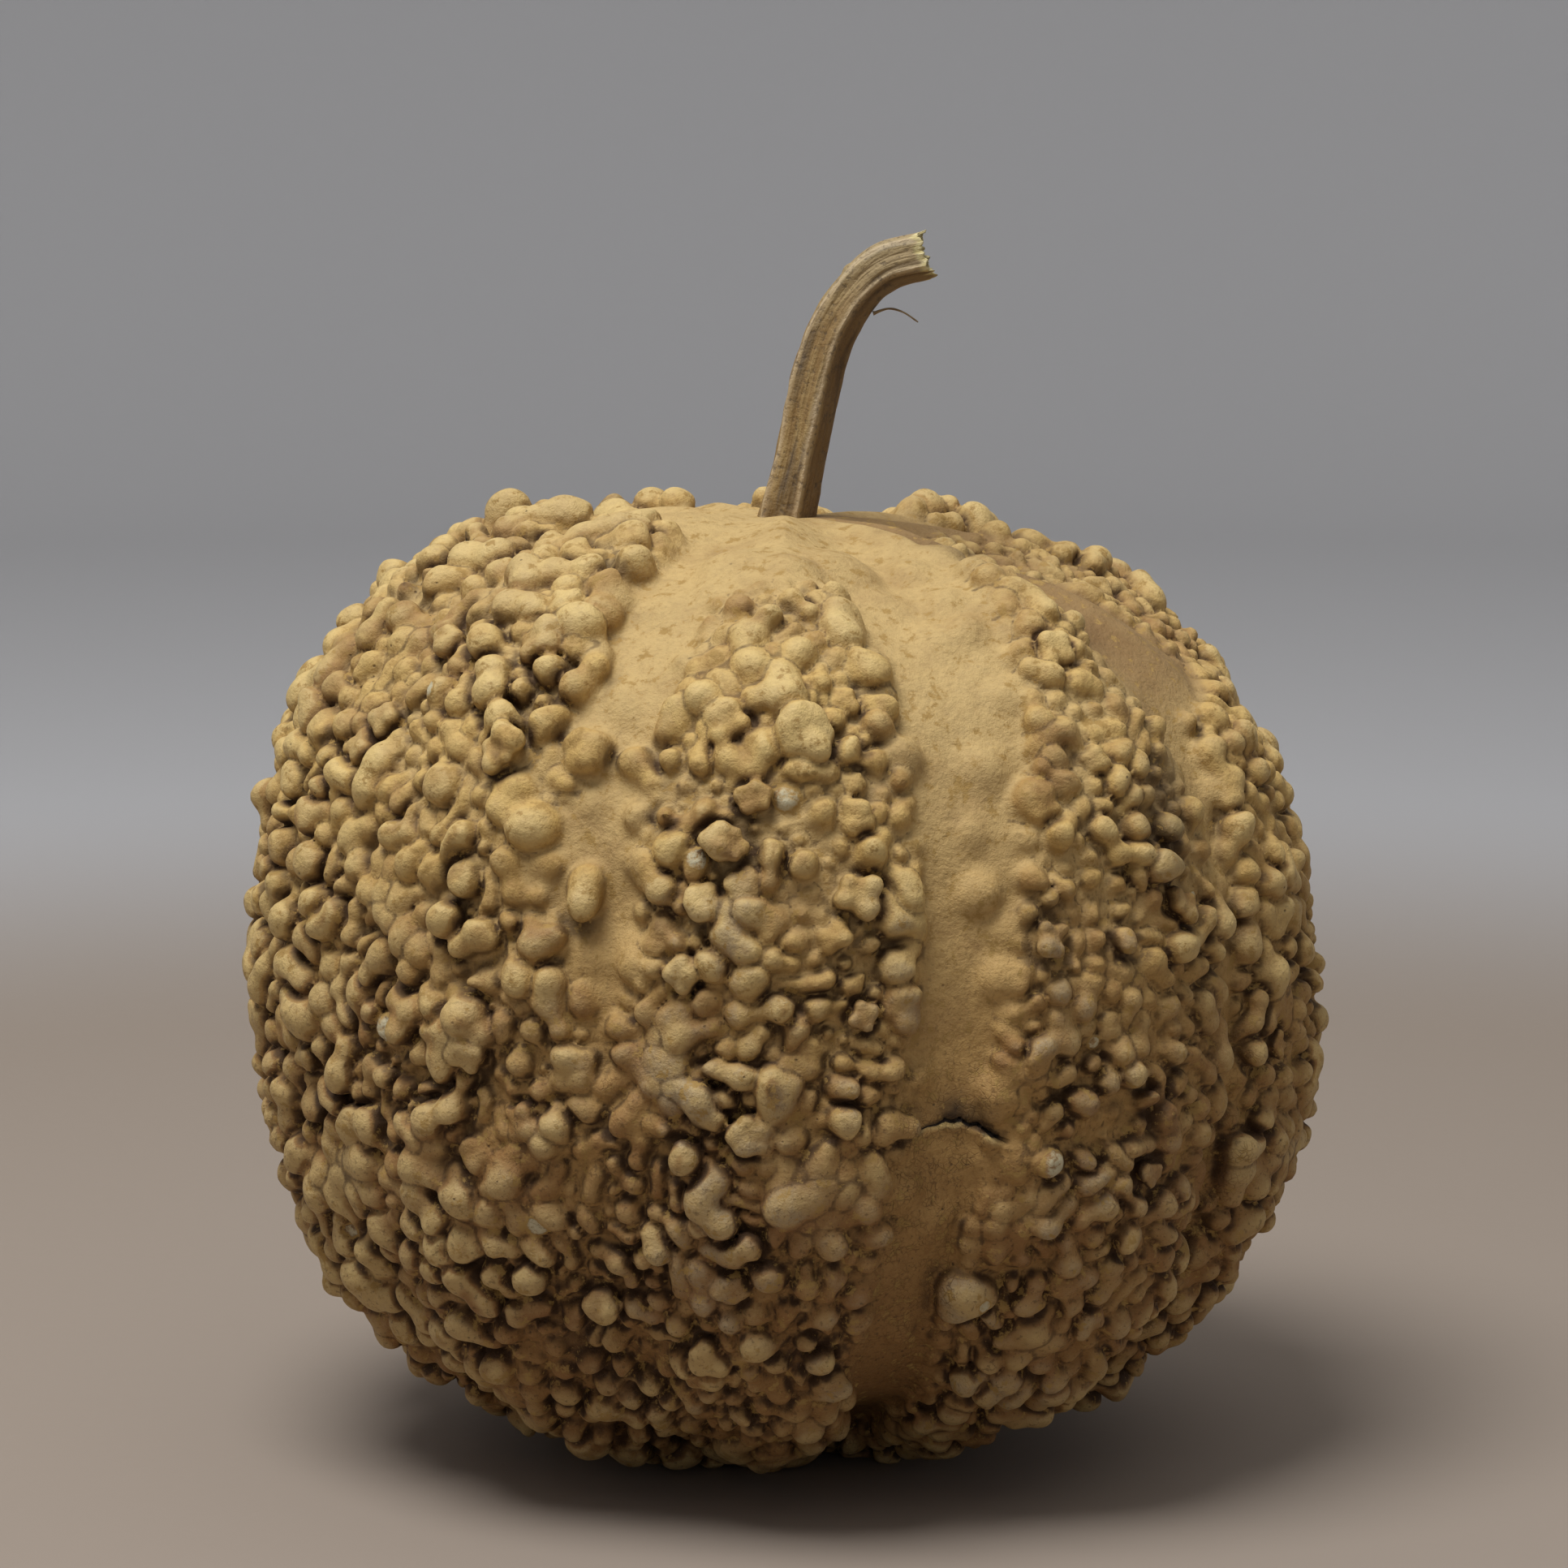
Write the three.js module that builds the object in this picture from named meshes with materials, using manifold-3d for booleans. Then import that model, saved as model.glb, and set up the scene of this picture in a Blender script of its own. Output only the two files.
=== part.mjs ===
// A dried warty gourd: a round ribbed fruit thick with warts, its bent five-angled stem, and one
// fibre that peels from the stem. Millimetres, +Z up. The origin is on the surface that the gourd
// rests on, under the middle of the fruit; the front of the gourd faces -Y.
import * as THREE from "three";
import { mergeVertices } from "three/addons/utils/BufferGeometryUtils.js";
import Module from "manifold-3d";

// Fruit: sizes of the bare skin, before warts.
const SKIN_WIDTH = 208;
const SKIN_DEPTH = 201;
const SKIN_TOP = 96; // middle of the fruit to the highest skin
const SKIN_BOTTOM = 98; // middle of the fruit to the lowest skin, before the flat spot is cut
const MIDDLE_Z = 94.5; // height of the middle above the floor, so the skin is cut to a flat spot
const SHOULDER_POWER = 2.75; // how boxy the upper half is: 2 is an ellipse
const BASE_POWER = 2.35;
const FRUIT_DETAIL = 20; // an icosphere's subdivisions: 20 * (detail + 1)^2 triangles

// Ten furrows run from pole to pole. Longitude is in degrees round +Z, 0 at the front, rising
// towards +X; depth and half width are those at the fruit's waist.
const FURROWS = [
  { longitude: 18, depth: 4.6, halfWidth: 8 },
  { longitude: 54, depth: 3.6, halfWidth: 6 },
  { longitude: 90, depth: 5.6, halfWidth: 10 },
  { longitude: 126, depth: 3.6, halfWidth: 7 },
  { longitude: 162, depth: 4.6, halfWidth: 8 },
  { longitude: 198, depth: 3.4, halfWidth: 6 },
  { longitude: 234, depth: 4.2, halfWidth: 7 },
  { longitude: 270, depth: 3.2, halfWidth: 6 },
  { longitude: 306, depth: 2.8, halfWidth: 6 },
  { longitude: 342, depth: 3.8, halfWidth: 8 },
];
const FURROW_GAIN_TO_POLES = 1.3; // furrows deepen by this share of their depth towards the poles
const FURROW_NARROWEST = 0.5; // furrows keep their width in millimetres down to this share of the waist
const CROWN_DIP = 7; // the skin sinks this far round the stem
const CROWN_DIP_ANGLE = 16; // degrees from the top pole

// Warts: knobs on the lobes, none in the furrows or round the stem.
const WART_COUNT = 420;
const WART_HEIGHT = 5;
const WART_RADIUS = 10.5;
const WART_SPREAD = 0.3; // share by which a wart's size varies, either way
const WART_JITTER = 0.05; // radians that a wart strays from its even spacing
const BARE_CROWN_ANGLE = 24; // degrees of smooth skin round the stem
const SEED = 7;

// Stem: the centreline from inside the crown to the cut end, and its five-angled section.
const STEM_LINE = [
  [-1.6, 0, 178.2],
  [1.3, 0, 191],
  [5, -0.4, 208.5],
  [8.1, -0.8, 219.2],
  [13.2, -1.2, 227.8],
  [19.4, -1.6, 233],
  [26.8, -2, 235.2],
];
const STEM_STEPS = 30;
const STEM_RADIUS = 5.8; // to the ridges, at the foot
const STEM_TIP_SHARE = 0.8; // the tip's width over the foot's
const STEM_RIDGES = 5;
const RIDGE_POINTS = 4; // section points from one ridge to the next
const GROOVE_DEPTH = 0.17; // how far the flats lie inside the ridges, over the radius
const RIDGE_TURN = THREE.MathUtils.degToRad(21); // the first ridge, from the front towards +X
const SEAT_GAP = 0.45; // clearance between the stem and its seat in the crown

// Fibre: a thin strip that peels from the inner side of the bend and droops.
const FIBRE_LINE = [
  [17.35, -1.3, 224],
  [20, -1.5, 224.7],
  [22.9, -1.8, 223.9],
  [25.6, -2.2, 222],
];
const FIBRE_RADIUS = 0.3;
const FIBRE_SIDES = 8;
const FIBRE_STEPS = 10;

const RIND_COLOUR = 0xb08f55;
const STEM_COLOUR = 0x8a7350;
const FIBRE_COLOUR = 0x7d6340;

const wasm = await Module();
wasm.setup();

// A seeded random number from 0 to 1, the same on every run.
function makeRandom(seed) {
  let state = seed;
  return () => {
    state = (state * 1664525 + 1013904223) % 4294967296;
    return state / 4294967296;
  };
}

function smoothstep(low, high, x) {
  return THREE.MathUtils.smoothstep(x, low, high);
}

// Degrees from one longitude to another, from -180 to 180.
function turnBetween(a, b) {
  return THREE.MathUtils.euclideanModulo(a - b + 180, 360) - 180;
}

function longitudeOf(direction) {
  return THREE.MathUtils.radToDeg(Math.atan2(direction.x, -direction.y));
}

function degreesFromTop(direction) {
  return THREE.MathUtils.radToDeg(Math.acos(THREE.MathUtils.clamp(direction.z, -1, 1)));
}

// 1 in the middle of a furrow, falling to 0 on the lobes beside it.
function inFurrow(direction, furrow, widen = 1) {
  const round = Math.max(Math.hypot(direction.x, direction.y), FURROW_NARROWEST);
  const turn = turnBetween(longitudeOf(direction), furrow.longitude);
  const away = (turn * round) / (furrow.halfWidth * widen);
  return Math.exp(-away * away);
}

// How far the furrows sink the skin in this direction.
function furrowDepth(direction) {
  const gain = 1 + FURROW_GAIN_TO_POLES * direction.z * direction.z;
  const atPole = smoothstep(0.08, 0.5, Math.hypot(direction.x, direction.y));
  const depths = FURROWS.map((furrow) => furrow.depth * inFurrow(direction, furrow));
  return gain * atPole * Math.max(...depths);
}

// Distance from the fruit's middle to its bare skin in this direction.
function skinRadius(direction) {
  const upper = direction.z > 0;
  const power = upper ? SHOULDER_POWER : BASE_POWER;
  const round = Math.hypot(direction.x / (SKIN_WIDTH / 2), direction.y / (SKIN_DEPTH / 2));
  const upright = Math.abs(direction.z) / (upper ? SKIN_TOP : SKIN_BOTTOM);
  const bare = (round ** power + upright ** power) ** (-1 / power);
  const dip = CROWN_DIP * Math.exp(-((degreesFromTop(direction) / CROWN_DIP_ANGLE) ** 2));
  return bare - furrowDepth(direction) - dip;
}

// How warty the skin is in this direction: 1 on a lobe, 0 in a furrow and round the stem.
function wartiness(direction) {
  const bare = Math.max(...FURROWS.map((furrow) => inFurrow(direction, furrow, 1.2)));
  const crown = smoothstep(BARE_CROWN_ANGLE, BARE_CROWN_ANGLE + 12, degreesFromTop(direction));
  return (1 - smoothstep(0.25, 0.8, bare)) * crown;
}

// Warts spread evenly over the fruit on a golden spiral, each a little off its place.
function makeWarts() {
  const random = makeRandom(SEED);
  const goldenAngle = Math.PI * (3 - Math.sqrt(5));
  const warts = [];
  for (let i = 0; i < WART_COUNT; i++) {
    const z = 1 - (2 * i + 1) / WART_COUNT;
    const around = i * goldenAngle;
    const level = Math.sqrt(1 - z * z);
    const centre = new THREE.Vector3(level * Math.cos(around), level * Math.sin(around), z);
    const stray = () => (2 * random() - 1) * WART_JITTER;
    centre.add(new THREE.Vector3(stray(), stray(), stray())).normalize();
    const size = 1 + (2 * random() - 1) * WART_SPREAD;
    const height = WART_HEIGHT * size * wartiness(centre);
    const reach = (WART_RADIUS * size) / skinRadius(centre);
    if (height > 0.3) warts.push({ centre, height, reach });
  }
  return warts;
}

// The highest wart over the skin in this direction, each wart a mound that fades into the skin.
function wartHeight(direction, warts) {
  let highest = 0;
  for (const wart of warts) {
    const away = direction.angleTo(wart.centre) / wart.reach;
    if (away < 1) highest = Math.max(highest, wart.height * 0.5 * (1 + Math.cos(Math.PI * away)));
  }
  return highest;
}

// A closed geometry as a manifold-3d solid.
function toSolid(geometry) {
  const bare = new THREE.BufferGeometry();
  const flat = geometry.index ? geometry.toNonIndexed() : geometry;
  bare.setAttribute("position", flat.getAttribute("position"));
  const merged = mergeVertices(bare, 1e-3);
  const vertProperties = merged.getAttribute("position").array;
  const triVerts = new Uint32Array(merged.index.array);
  return new wasm.Manifold(new wasm.Mesh({ numProp: 3, vertProperties, triVerts }));
}

function fromSolid(solid) {
  const { vertProperties, triVerts } = solid.getMesh();
  const geometry = new THREE.BufferGeometry();
  geometry.setAttribute("position", new THREE.BufferAttribute(vertProperties, 3));
  geometry.setIndex(new THREE.BufferAttribute(triVerts, 1));
  geometry.computeVertexNormals();
  return geometry;
}

// Everything below the floor, as a block to cut with.
function underFloor() {
  const block = new THREE.BoxGeometry(SKIN_WIDTH * 2, SKIN_DEPTH * 2, MIDDLE_Z);
  return toSolid(block.translate(0, 0, -MIDDLE_Z / 2));
}

// The fruit: an icosphere pushed out to the warty skin and centred over the origin, cut flat
// where it rests, with a seat for the stem in its crown.
function fruitGeometry() {
  const warts = makeWarts();
  const ball = new THREE.IcosahedronGeometry(1, FRUIT_DETAIL);
  const position = ball.getAttribute("position");
  const direction = new THREE.Vector3();
  for (let i = 0; i < position.count; i++) {
    direction.fromBufferAttribute(position, i).normalize();
    const radius = skinRadius(direction) + wartHeight(direction, warts);
    position.setXYZ(i, ...direction.multiplyScalar(radius));
  }
  ball.computeBoundingBox();
  const middle = ball.boundingBox.getCenter(new THREE.Vector3());
  ball.translate(-middle.x, -middle.y, MIDDLE_Z);
  const seat = toSolid(stemGeometry(STEM_RADIUS + SEAT_GAP, SEAT_GAP));
  return fromSolid(toSolid(ball).subtract(underFloor()).subtract(seat));
}

function lineThrough(points) {
  return new THREE.CatmullRomCurve3(points.map((p) => new THREE.Vector3(...p)));
}

// The stem's section: ridges with flats sunk between them.
function stemSection(radius) {
  const count = STEM_RIDGES * RIDGE_POINTS;
  const points = Array.from({ length: count }, (_, i) => {
    const angle = (i / count) * 2 * Math.PI;
    const ridge = Math.abs(Math.cos((STEM_RIDGES * angle) / 2)) ** 1.4;
    const out = radius * (1 - GROOVE_DEPTH * (1 - ridge));
    const at = angle + RIDGE_TURN;
    return new THREE.Vector2(out * Math.cos(at), out * Math.sin(at));
  });
  return new THREE.Shape(points);
}

// Narrows a swept geometry towards the end of its line, from 1 at the foot to share at the tip.
function taper(geometry, line, steps, share) {
  const middles = line.getSpacedPoints(steps);
  const position = geometry.getAttribute("position");
  const point = new THREE.Vector3();
  for (let i = 0; i < position.count; i++) {
    point.fromBufferAttribute(position, i);
    const away = middles.map((middle) => middle.distanceToSquared(point));
    const nearest = away.indexOf(Math.min(...away));
    const width = THREE.MathUtils.lerp(1, share, (nearest / steps) ** 2);
    point.sub(middles[nearest]).multiplyScalar(width).add(middles[nearest]);
    position.setXYZ(i, ...point);
  }
  return geometry;
}

// The stem, or with a larger radius and some extra at its foot, the seat to cut for it.
function stemGeometry(radius, extraFoot = 0) {
  const line = lineThrough(STEM_LINE);
  const geometry = new THREE.ExtrudeGeometry(stemSection(radius), {
    steps: STEM_STEPS,
    bevelEnabled: false,
    extrudePath: line,
  });
  return taper(geometry, line, STEM_STEPS, STEM_TIP_SHARE).translate(0, 0, -extraFoot);
}

function fibreGeometry() {
  const section = new THREE.Shape(
    Array.from({ length: FIBRE_SIDES }, (_, i) => {
      const angle = (i / FIBRE_SIDES) * 2 * Math.PI;
      return new THREE.Vector2(FIBRE_RADIUS * Math.cos(angle), FIBRE_RADIUS * Math.sin(angle));
    }),
  );
  return new THREE.ExtrudeGeometry(section, {
    steps: FIBRE_STEPS,
    bevelEnabled: false,
    extrudePath: lineThrough(FIBRE_LINE),
  });
}

function dryMaterial(color, roughness) {
  return new THREE.MeshStandardMaterial({ color, roughness, metalness: 0 });
}

function named(name, geometry, material) {
  const mesh = new THREE.Mesh(geometry, material);
  mesh.name = name;
  return mesh;
}

const gourd = new THREE.Group();
gourd.add(named("fruit", fruitGeometry(), dryMaterial(RIND_COLOUR, 0.75)));
gourd.add(named("stem", stemGeometry(STEM_RADIUS), dryMaterial(STEM_COLOUR, 0.85)));
gourd.add(named("stem_fibre", fibreGeometry(), dryMaterial(FIBRE_COLOUR, 0.85)));

export default gourd;
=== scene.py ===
# A dried warty gourd, laid out as a Blender add-on: the fruit is shaped as a block of distances, to
# which skin, warts and creases are added one by one, and the stem and its fibre are swept along lines
# inside their boxes in the CAD frame. The front faces -Y. Shapes are worked out in millimetres.
import math

import bpy
import numpy as np
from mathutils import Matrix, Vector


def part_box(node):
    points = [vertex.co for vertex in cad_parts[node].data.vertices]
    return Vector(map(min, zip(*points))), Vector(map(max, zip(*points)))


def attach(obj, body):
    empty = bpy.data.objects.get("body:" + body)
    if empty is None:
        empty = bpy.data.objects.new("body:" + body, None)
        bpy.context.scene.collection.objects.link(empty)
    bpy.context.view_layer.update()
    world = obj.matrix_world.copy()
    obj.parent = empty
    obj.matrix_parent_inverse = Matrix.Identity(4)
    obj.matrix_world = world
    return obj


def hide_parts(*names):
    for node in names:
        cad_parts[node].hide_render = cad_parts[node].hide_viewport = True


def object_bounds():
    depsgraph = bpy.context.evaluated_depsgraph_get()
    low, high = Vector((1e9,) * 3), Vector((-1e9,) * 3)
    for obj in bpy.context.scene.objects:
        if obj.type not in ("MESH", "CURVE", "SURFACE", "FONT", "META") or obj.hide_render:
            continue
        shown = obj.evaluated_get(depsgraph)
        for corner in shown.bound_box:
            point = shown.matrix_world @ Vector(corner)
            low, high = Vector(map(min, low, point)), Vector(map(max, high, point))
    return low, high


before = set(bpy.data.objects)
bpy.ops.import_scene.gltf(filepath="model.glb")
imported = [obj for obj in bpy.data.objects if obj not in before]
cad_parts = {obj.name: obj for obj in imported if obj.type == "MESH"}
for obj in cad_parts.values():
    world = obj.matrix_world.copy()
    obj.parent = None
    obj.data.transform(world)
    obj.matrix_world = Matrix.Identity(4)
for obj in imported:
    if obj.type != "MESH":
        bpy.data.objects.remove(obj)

import openvdb
from bpy.props import FloatProperty, FloatVectorProperty, IntProperty, PointerProperty
from mathutils import Vector

bl_info = {
    "name": "Dried Warty Gourd",
    "version": (1, 0, 0),
    "blender": (4, 5, 0),
    "location": "3D View > Sidebar > Gourd",
    "description": "Makes a dried warty gourd, its stem and a plain stage",
    "category": "Add Mesh",
}

CAD_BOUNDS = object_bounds()
FRUIT_LOW, FRUIT_HIGH = (Vector(corner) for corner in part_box("fruit"))
STEM_LOW, STEM_HIGH = (Vector(corner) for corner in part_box("stem"))
FIBRE_LOW, FIBRE_HIGH = (Vector(corner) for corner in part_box("stem_fibre"))
FRUIT_SIZE = FRUIT_HIGH - FRUIT_LOW
MM = 0.001  # the shapes are worked out in millimetres, and the frame is in metres
SEED = 11


# ---------------------------------------------------------------- where things are on the fruit
# Longitude is in degrees round +Z, 0 at the front, rising towards +X. Latitude is in degrees up from
# the waist. Sizes are in millimetres.

# Furrows from pole to pole: longitude, depth at the waist, half width in degrees.
FURROWS = (
    (18, 4.0, 8), (55, 3.4, 6), (92, 5.0, 11), (126, 3.6, 7), (162, 4.6, 8),
    (198, 3.4, 6), (234, 4.2, 7), (270, 3.2, 6), (306, 2.4, 6), (341, 3.0, 8),
)
# Broad swellings and hollows of the whole fruit: longitude, latitude, spread in degrees, rise.
SWELLS = ((78, 50, 24, -5), (-72, 52, 26, 1.5), (40, -28, 18, 1.5), (-4, 72, 12, 1.5), (84, -16, 26, 2.5))

# Strips of bare skin down the furrows: each is a list of latitude, west edge, east edge.
BARE_STRIPS = (
    ((-70, 8, 26), (-30, 8.5, 19), (0, 12.5, 23), (25, 14, 28), (45, 11, 34), (60, 5, 40)),
    ((-60, 52, 57), (-20, 52.5, 57.5), (15, 53.5, 59), (30, 51, 62), (36, 47, 77), (60, 43, 80)),
    ((-5, -19, -18), (10, -24, -16), (25, -28, -14.5), (45, -27, -11.5), (60, -30, -8)),
    ((-70, 120, 131), (0, 123, 129), (60, 117, 135)),
    ((-70, 153, 170), (0, 156, 168), (60, 152, 172)),
    ((-70, 194, 203), (0, 196, 201), (60, 190, 206)),
    ((-70, 227, 240), (0, 229, 238), (60, 226, 242)),
)
# Where warts grow: west, east, south, north, share of the room they fill, largest radius, and how
# wrinkled they are. The first patch that holds a place counts.
PATCHES = (
    (-14, 13, 12, 51, 0.85, 4.2, 0.2),
    (-14, 13, -80, 12, 1.0, 3.5, 0.9),
    (-30, -14, -36, 9, 0.3, 3.2, 0.1),
    (-29, -14, -80, -32, 0.9, 3.8, 0.4),
    (-95, -27, 16, 64, 0.9, 4.8, 0.2),
    (-95, -27, -80, 16, 1.0, 4.2, 0.7),
    (29, 56, -80, 33, 1.0, 3.4, 0.5),
    (31, 46, 33, 58, 0.55, 3.0, 0.1),
    (57, 95, -80, 33, 1.0, 3.4, 0.4),
    (76, 112, 33, 68, 0.7, 2.6, 0.2),
    (13, 29, -80, 30, 0.25, 2.6, 0.2),
    (95, 265, -80, 62, 0.95, 4.7, 0.4),
)
# The warts that stand out, by their form: longitude, latitude, radius.
DOMES = (
    (-3.5, 49.5, 2.6), (-8, 44.5, 3.4), (-6, 46, 2.1), (3.5, 45.5, 1.9), (6.5, 39, 2.2), (2.5, 36.5, 2.6),
    (4.2, 36.5, 2.2), (-10.5, 34.5, 1.7), (-2.3, 34, 2.3), (7.5, 33, 2.2), (-11, 32, 2.2), (11.5, 36, 3),
    (-7.7, 27.5, 2.2), (-1.8, 29, 1.8), (2.5, 27, 2.5), (10.5, 27, 2.5), (12.3, 24.5, 3.3),
    (5.5, 21.5, 3), (1.3, 22, 2.5), (12, 21, 2.5), (-5.7, 12.8, 4.5), (-9.2, 12.2, 2.3), (2.4, 17, 2.4),
    (-0.8, 17, 2), (1.1, 12.5, 3.2), (8.6, 12, 3), (6.6, 8, 3.3), (1, 3.7, 3.3), (4.2, 3, 2.2),
    (7.7, 1.7, 3.2), (-11.2, 0, 3.6), (-6, 1.5, 3), (-1.5, 1.2, 2.6), (7.9, -3.5, 3), (11, -3, 2.5),
    (-6.3, -3.5, 2.8), (10.5, -6.7, 4.2), (-7.8, -8.5, 2.5), (6, -8.3, 3), (-4.4, -10.7, 3),
    (3.5, -10, 3.4), (-10.2, -12.3, 2.2), (5.7, -14, 2.8), (4.5, -19, 4), (2.2, -23.5, 3.6),
    (4, -27.5, 3.8), (-31, 38.5, 4), (-27, 28, 2.8), (-25.5, 26.5, 1.6), (-27.5, 25.5, 1.6), (-22, 17, 4),
    (-22, 5.3, 3.2), (-17.3, 3, 3.3), (-14.6, 1.3, 1.8), (-17.5, -16.5, 3.6), (-29.5, 33, 3.8),
    (-44.5, 32, 3), (-47.5, 33.5, 2.5), (-59, 32.5, 3.3), (-44.5, 35, 3.8), (-49.5, 36, 4.2),
    (-55, 34.5, 2.7), (-56, 37, 3), (-63, 36.5, 3.8), (-33.5, 36, 3.3), (-38.5, 31.5, 3), (-29.5, 42, 3),
    (-27.5, 37.5, 4.2), (-38, 47.5, 2.5), (-57, 44, 3), (-35, 25, 2.9), (-49.5, 22, 3), (-55, 22.5, 2.7),
    (-44, 26, 3), (-47.5, 28.5, 3.3), (-43, 29, 2.8), (-32.8, 11.5, 5.2), (-27, 11, 4.4), (-38.5, 4, 3.8),
    (-35.7, 8, 2.6), (-30.3, 3, 3.3), (-28.5, -1.5, 4), (-24.5, -7.5, 3.5), (-27.8, -11.5, 2.8),
    (-26.5, -17.5, 3.5), (-46, -14, 3.7), (-64, -13, 3.8), (-43.5, -5.5, 3.4), (-46, 17, 3.2),
    (36.5, 44.5, 3.4), (42, 43.5, 2.5), (39.5, 37, 4.2), (35, 35.5, 2.7), (36.5, 34, 2.6),
    (39.5, 34, 2.6), (45, 35.5, 2.2), (51, 31, 2.6), (32, 29, 3), (34, 24, 3.2), (39, 26.5, 3.3),
    (40, 21.5, 3.6), (48, 25, 2), (48, 22.9, 2), (51.5, 18.5, 3.3), (33.5, 17, 3.3), (39.5, 17, 2.7),
    (47.5, 16.5, 3.1), (28.5, 15.5, 2.6), (33.5, 13.5, 3), (37, 13.5, 3.1), (33.5, 8.8, 3.1),
    (37, 7.5, 2.8), (45, 7, 2.3), (28.8, 6, 3.3), (35, 5.6, 2.7), (46, 4, 3), (30, -2.5, 3.4),
    (32.3, -6, 4.4), (45, -5, 3), (21.6, -27, 5.3), (49, -11.5, 3.6), (61, 32, 2.1), (65, 28, 3),
    (70, 26, 2.8), (34.5, -20, 3.6),
)
CLUMPS = (
    (4.5, 50, 3.2), (6.7, 36.6, 3.4), (-6.5, 33.5, 4.7), (2.2, 32.3, 6), (-11.5, 27.5, 3.4),
    (-3.3, 26, 4.2), (7.5, 28, 3.3), (7.2, 24.5, 4.4), (-6, 21.5, 5.4), (-4.7, 18, 4.2), (-8.3, 16, 4.4),
    (7.2, 17, 5.4), (4.7, 12.8, 4.2), (-10.8, 9, 4.4), (-8, 6.2, 3.6), (7.6, 4.7, 4), (-3.6, -7.3, 4.6),
    (-9.5, -33, 5), (5.5, -38, 5), (-24, 31, 4.6), (-32.5, 29.5, 5.8), (-54.5, 31.5, 4.2), (-34, 41.5, 5),
    (-34, 47, 4), (-49, 40.5, 4.4), (-57, 28, 4.2), (-34, -1, 4.6), (-28.5, -7, 4.5), (-62, -5, 4.2),
    (-46, 12, 3.8), (-34, -11, 4.1), (37.5, 40.8, 4.6), (36.5, 28.5, 3.6), (45.5, 13.5, 4.6),
    (28.3, 11.5, 4.6), (35, 2, 3.4), (26, -40, 4.6), (-48, 62, 4.6), (-42, 65, 4), (-53, 57, 4.2),
    (41, -14, 4), (-40, -22, 4.4), (-55, -20, 4), (-22, -28, 4.4), (-6, -24, 4.2), (37, -30, 4.4),
    (60, 12, 3.6), (64, -4, 3.8),
)
# Worms have a heading too, in degrees up from level, and a length in radii.
WORMS = (
    (6.5, 41.5, 2.4, 80, 3), (-7, 37.5, 2.2, 0, 5), (11.8, 18, 2.9, 85, 4), (1.8, 8.3, 2.7, 5, 5),
    (-13.8, 6.2, 2.7, 60, 4), (2.3, -3.8, 2.3, 90, 3), (-0.5, -11, 2.2, 0, 5), (-4.7, -14.5, 1.9, 0, 5),
    (9.2, -12, 2.9, 90, 4), (-12, -23.5, 2.4, 85, 5), (-13.7, -13, 2.5, 85, 4), (-21, -14, 2.7, 80, 4),
    (-38, 23.5, 2.7, 40, 6), (-46, 24.5, 2.6, 45, 4), (-41.5, 22, 2.6, 90, 3), (-32.5, 15.5, 2.5, -35, 5),
    (-47, 4, 2.7, 90, 3), (-33, -6.5, 2.3, 10, 5), (-32.7, -9, 1.9, 10, 5), (-25.5, -13.5, 2.3, 0, 5),
    (-22, -18, 2.7, 80, 3), (45, 32, 2.3, 60, 4), (35.5, 24, 2.2, 30, 4), (-50, 9, 2.4, 15, 4),
    (-58, 16, 2.5, 50, 4), (-66, 24, 2.5, 70, 4), (29, -15, 2.6, 75, 4), (-31.5, 21, 2.2, 70, 3),
    (-15.7, 28.5, 2.9, 88, 5), (41, 10.5, 2.1, 20, 4), (53.5, 7, 2.3, 85, 3), (24, -22, 2.6, 60, 3),
)
# Soft blisters under the skin: longitude, latitude, radius, rise.
BLISTERS = (
    (24, 45, 5, 1.6), (24.5, 29.5, 5, 1.8), (21.5, 23.3, 3.2, 1.6), (21.2, 17, 4.4, 2.8),
    (24.5, 12.5, 3.2, 1.6), (24, 8, 4.6, 2.2), (25, 3.6, 3.6, 1.8), (26.5, -2, 4.4, 3.2),
    (23.2, -4.5, 4.6, 2.6), (25.5, -11.5, 4.4, 3), (29, 46, 4.4, 2.2), (30, 52, 3.6, 1.8),
    (11.5, 42, 3.4, 2), (13.5, 31, 4.4, 3), (12, 38, 3.2, 1.8), (-14, 42, 2.4, 1.8), (-24, 31, 5.4, 2.6),
    (-22.5, 26, 3.6, 1.6), (-16.5, 24.6, 3.2, 3.2), (-15.5, 20.5, 3.6, 1.8), (-27, 42, 3, 2.2),
    (-16, 11.5, 3.3, 1.8), (-13, 11.5, 2.6, 1.6), (-22.5, 10.5, 4.2, 1.8), (-21, 37, 4, 1.2),
    (11.5, -15, 4.8, 2.6), (15, -19, 4.6, 1.2), (14, -2.5, 2.6, 1.8), (-19, -4, 4, 2),
    (-15.2, -6.5, 3.4, 2.8), (-21, -10, 4, 2), (14.5, -33.5, 2.6, 1.6), (42, 62, 5, 2.2),
    (40, 56, 3.4, 1.8), (-35, 57, 4.6, 2), (-48, 47, 5, 2.2), (-30, 50, 3.6, 1.6), (49, 28, 3.4, 1.6),
    (57, 14, 3.4, 1.6), (57, 5, 3.2, 1.6), (56.5, -6, 3.8, 1.6), (7, 59, 7, 1.4), (-8, 57, 6, 1.2),
    (59.5, 24, 3.6, 2), (-12.5, 52, 4, 1.2), (30, 37, 3.6, 1.4), (31, 60, 4, 1.4), (-20, 50, 5, 1.2),
    (0, 57, 4, 1.4), (17.5, 52, 4, 0.8),
)
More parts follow.
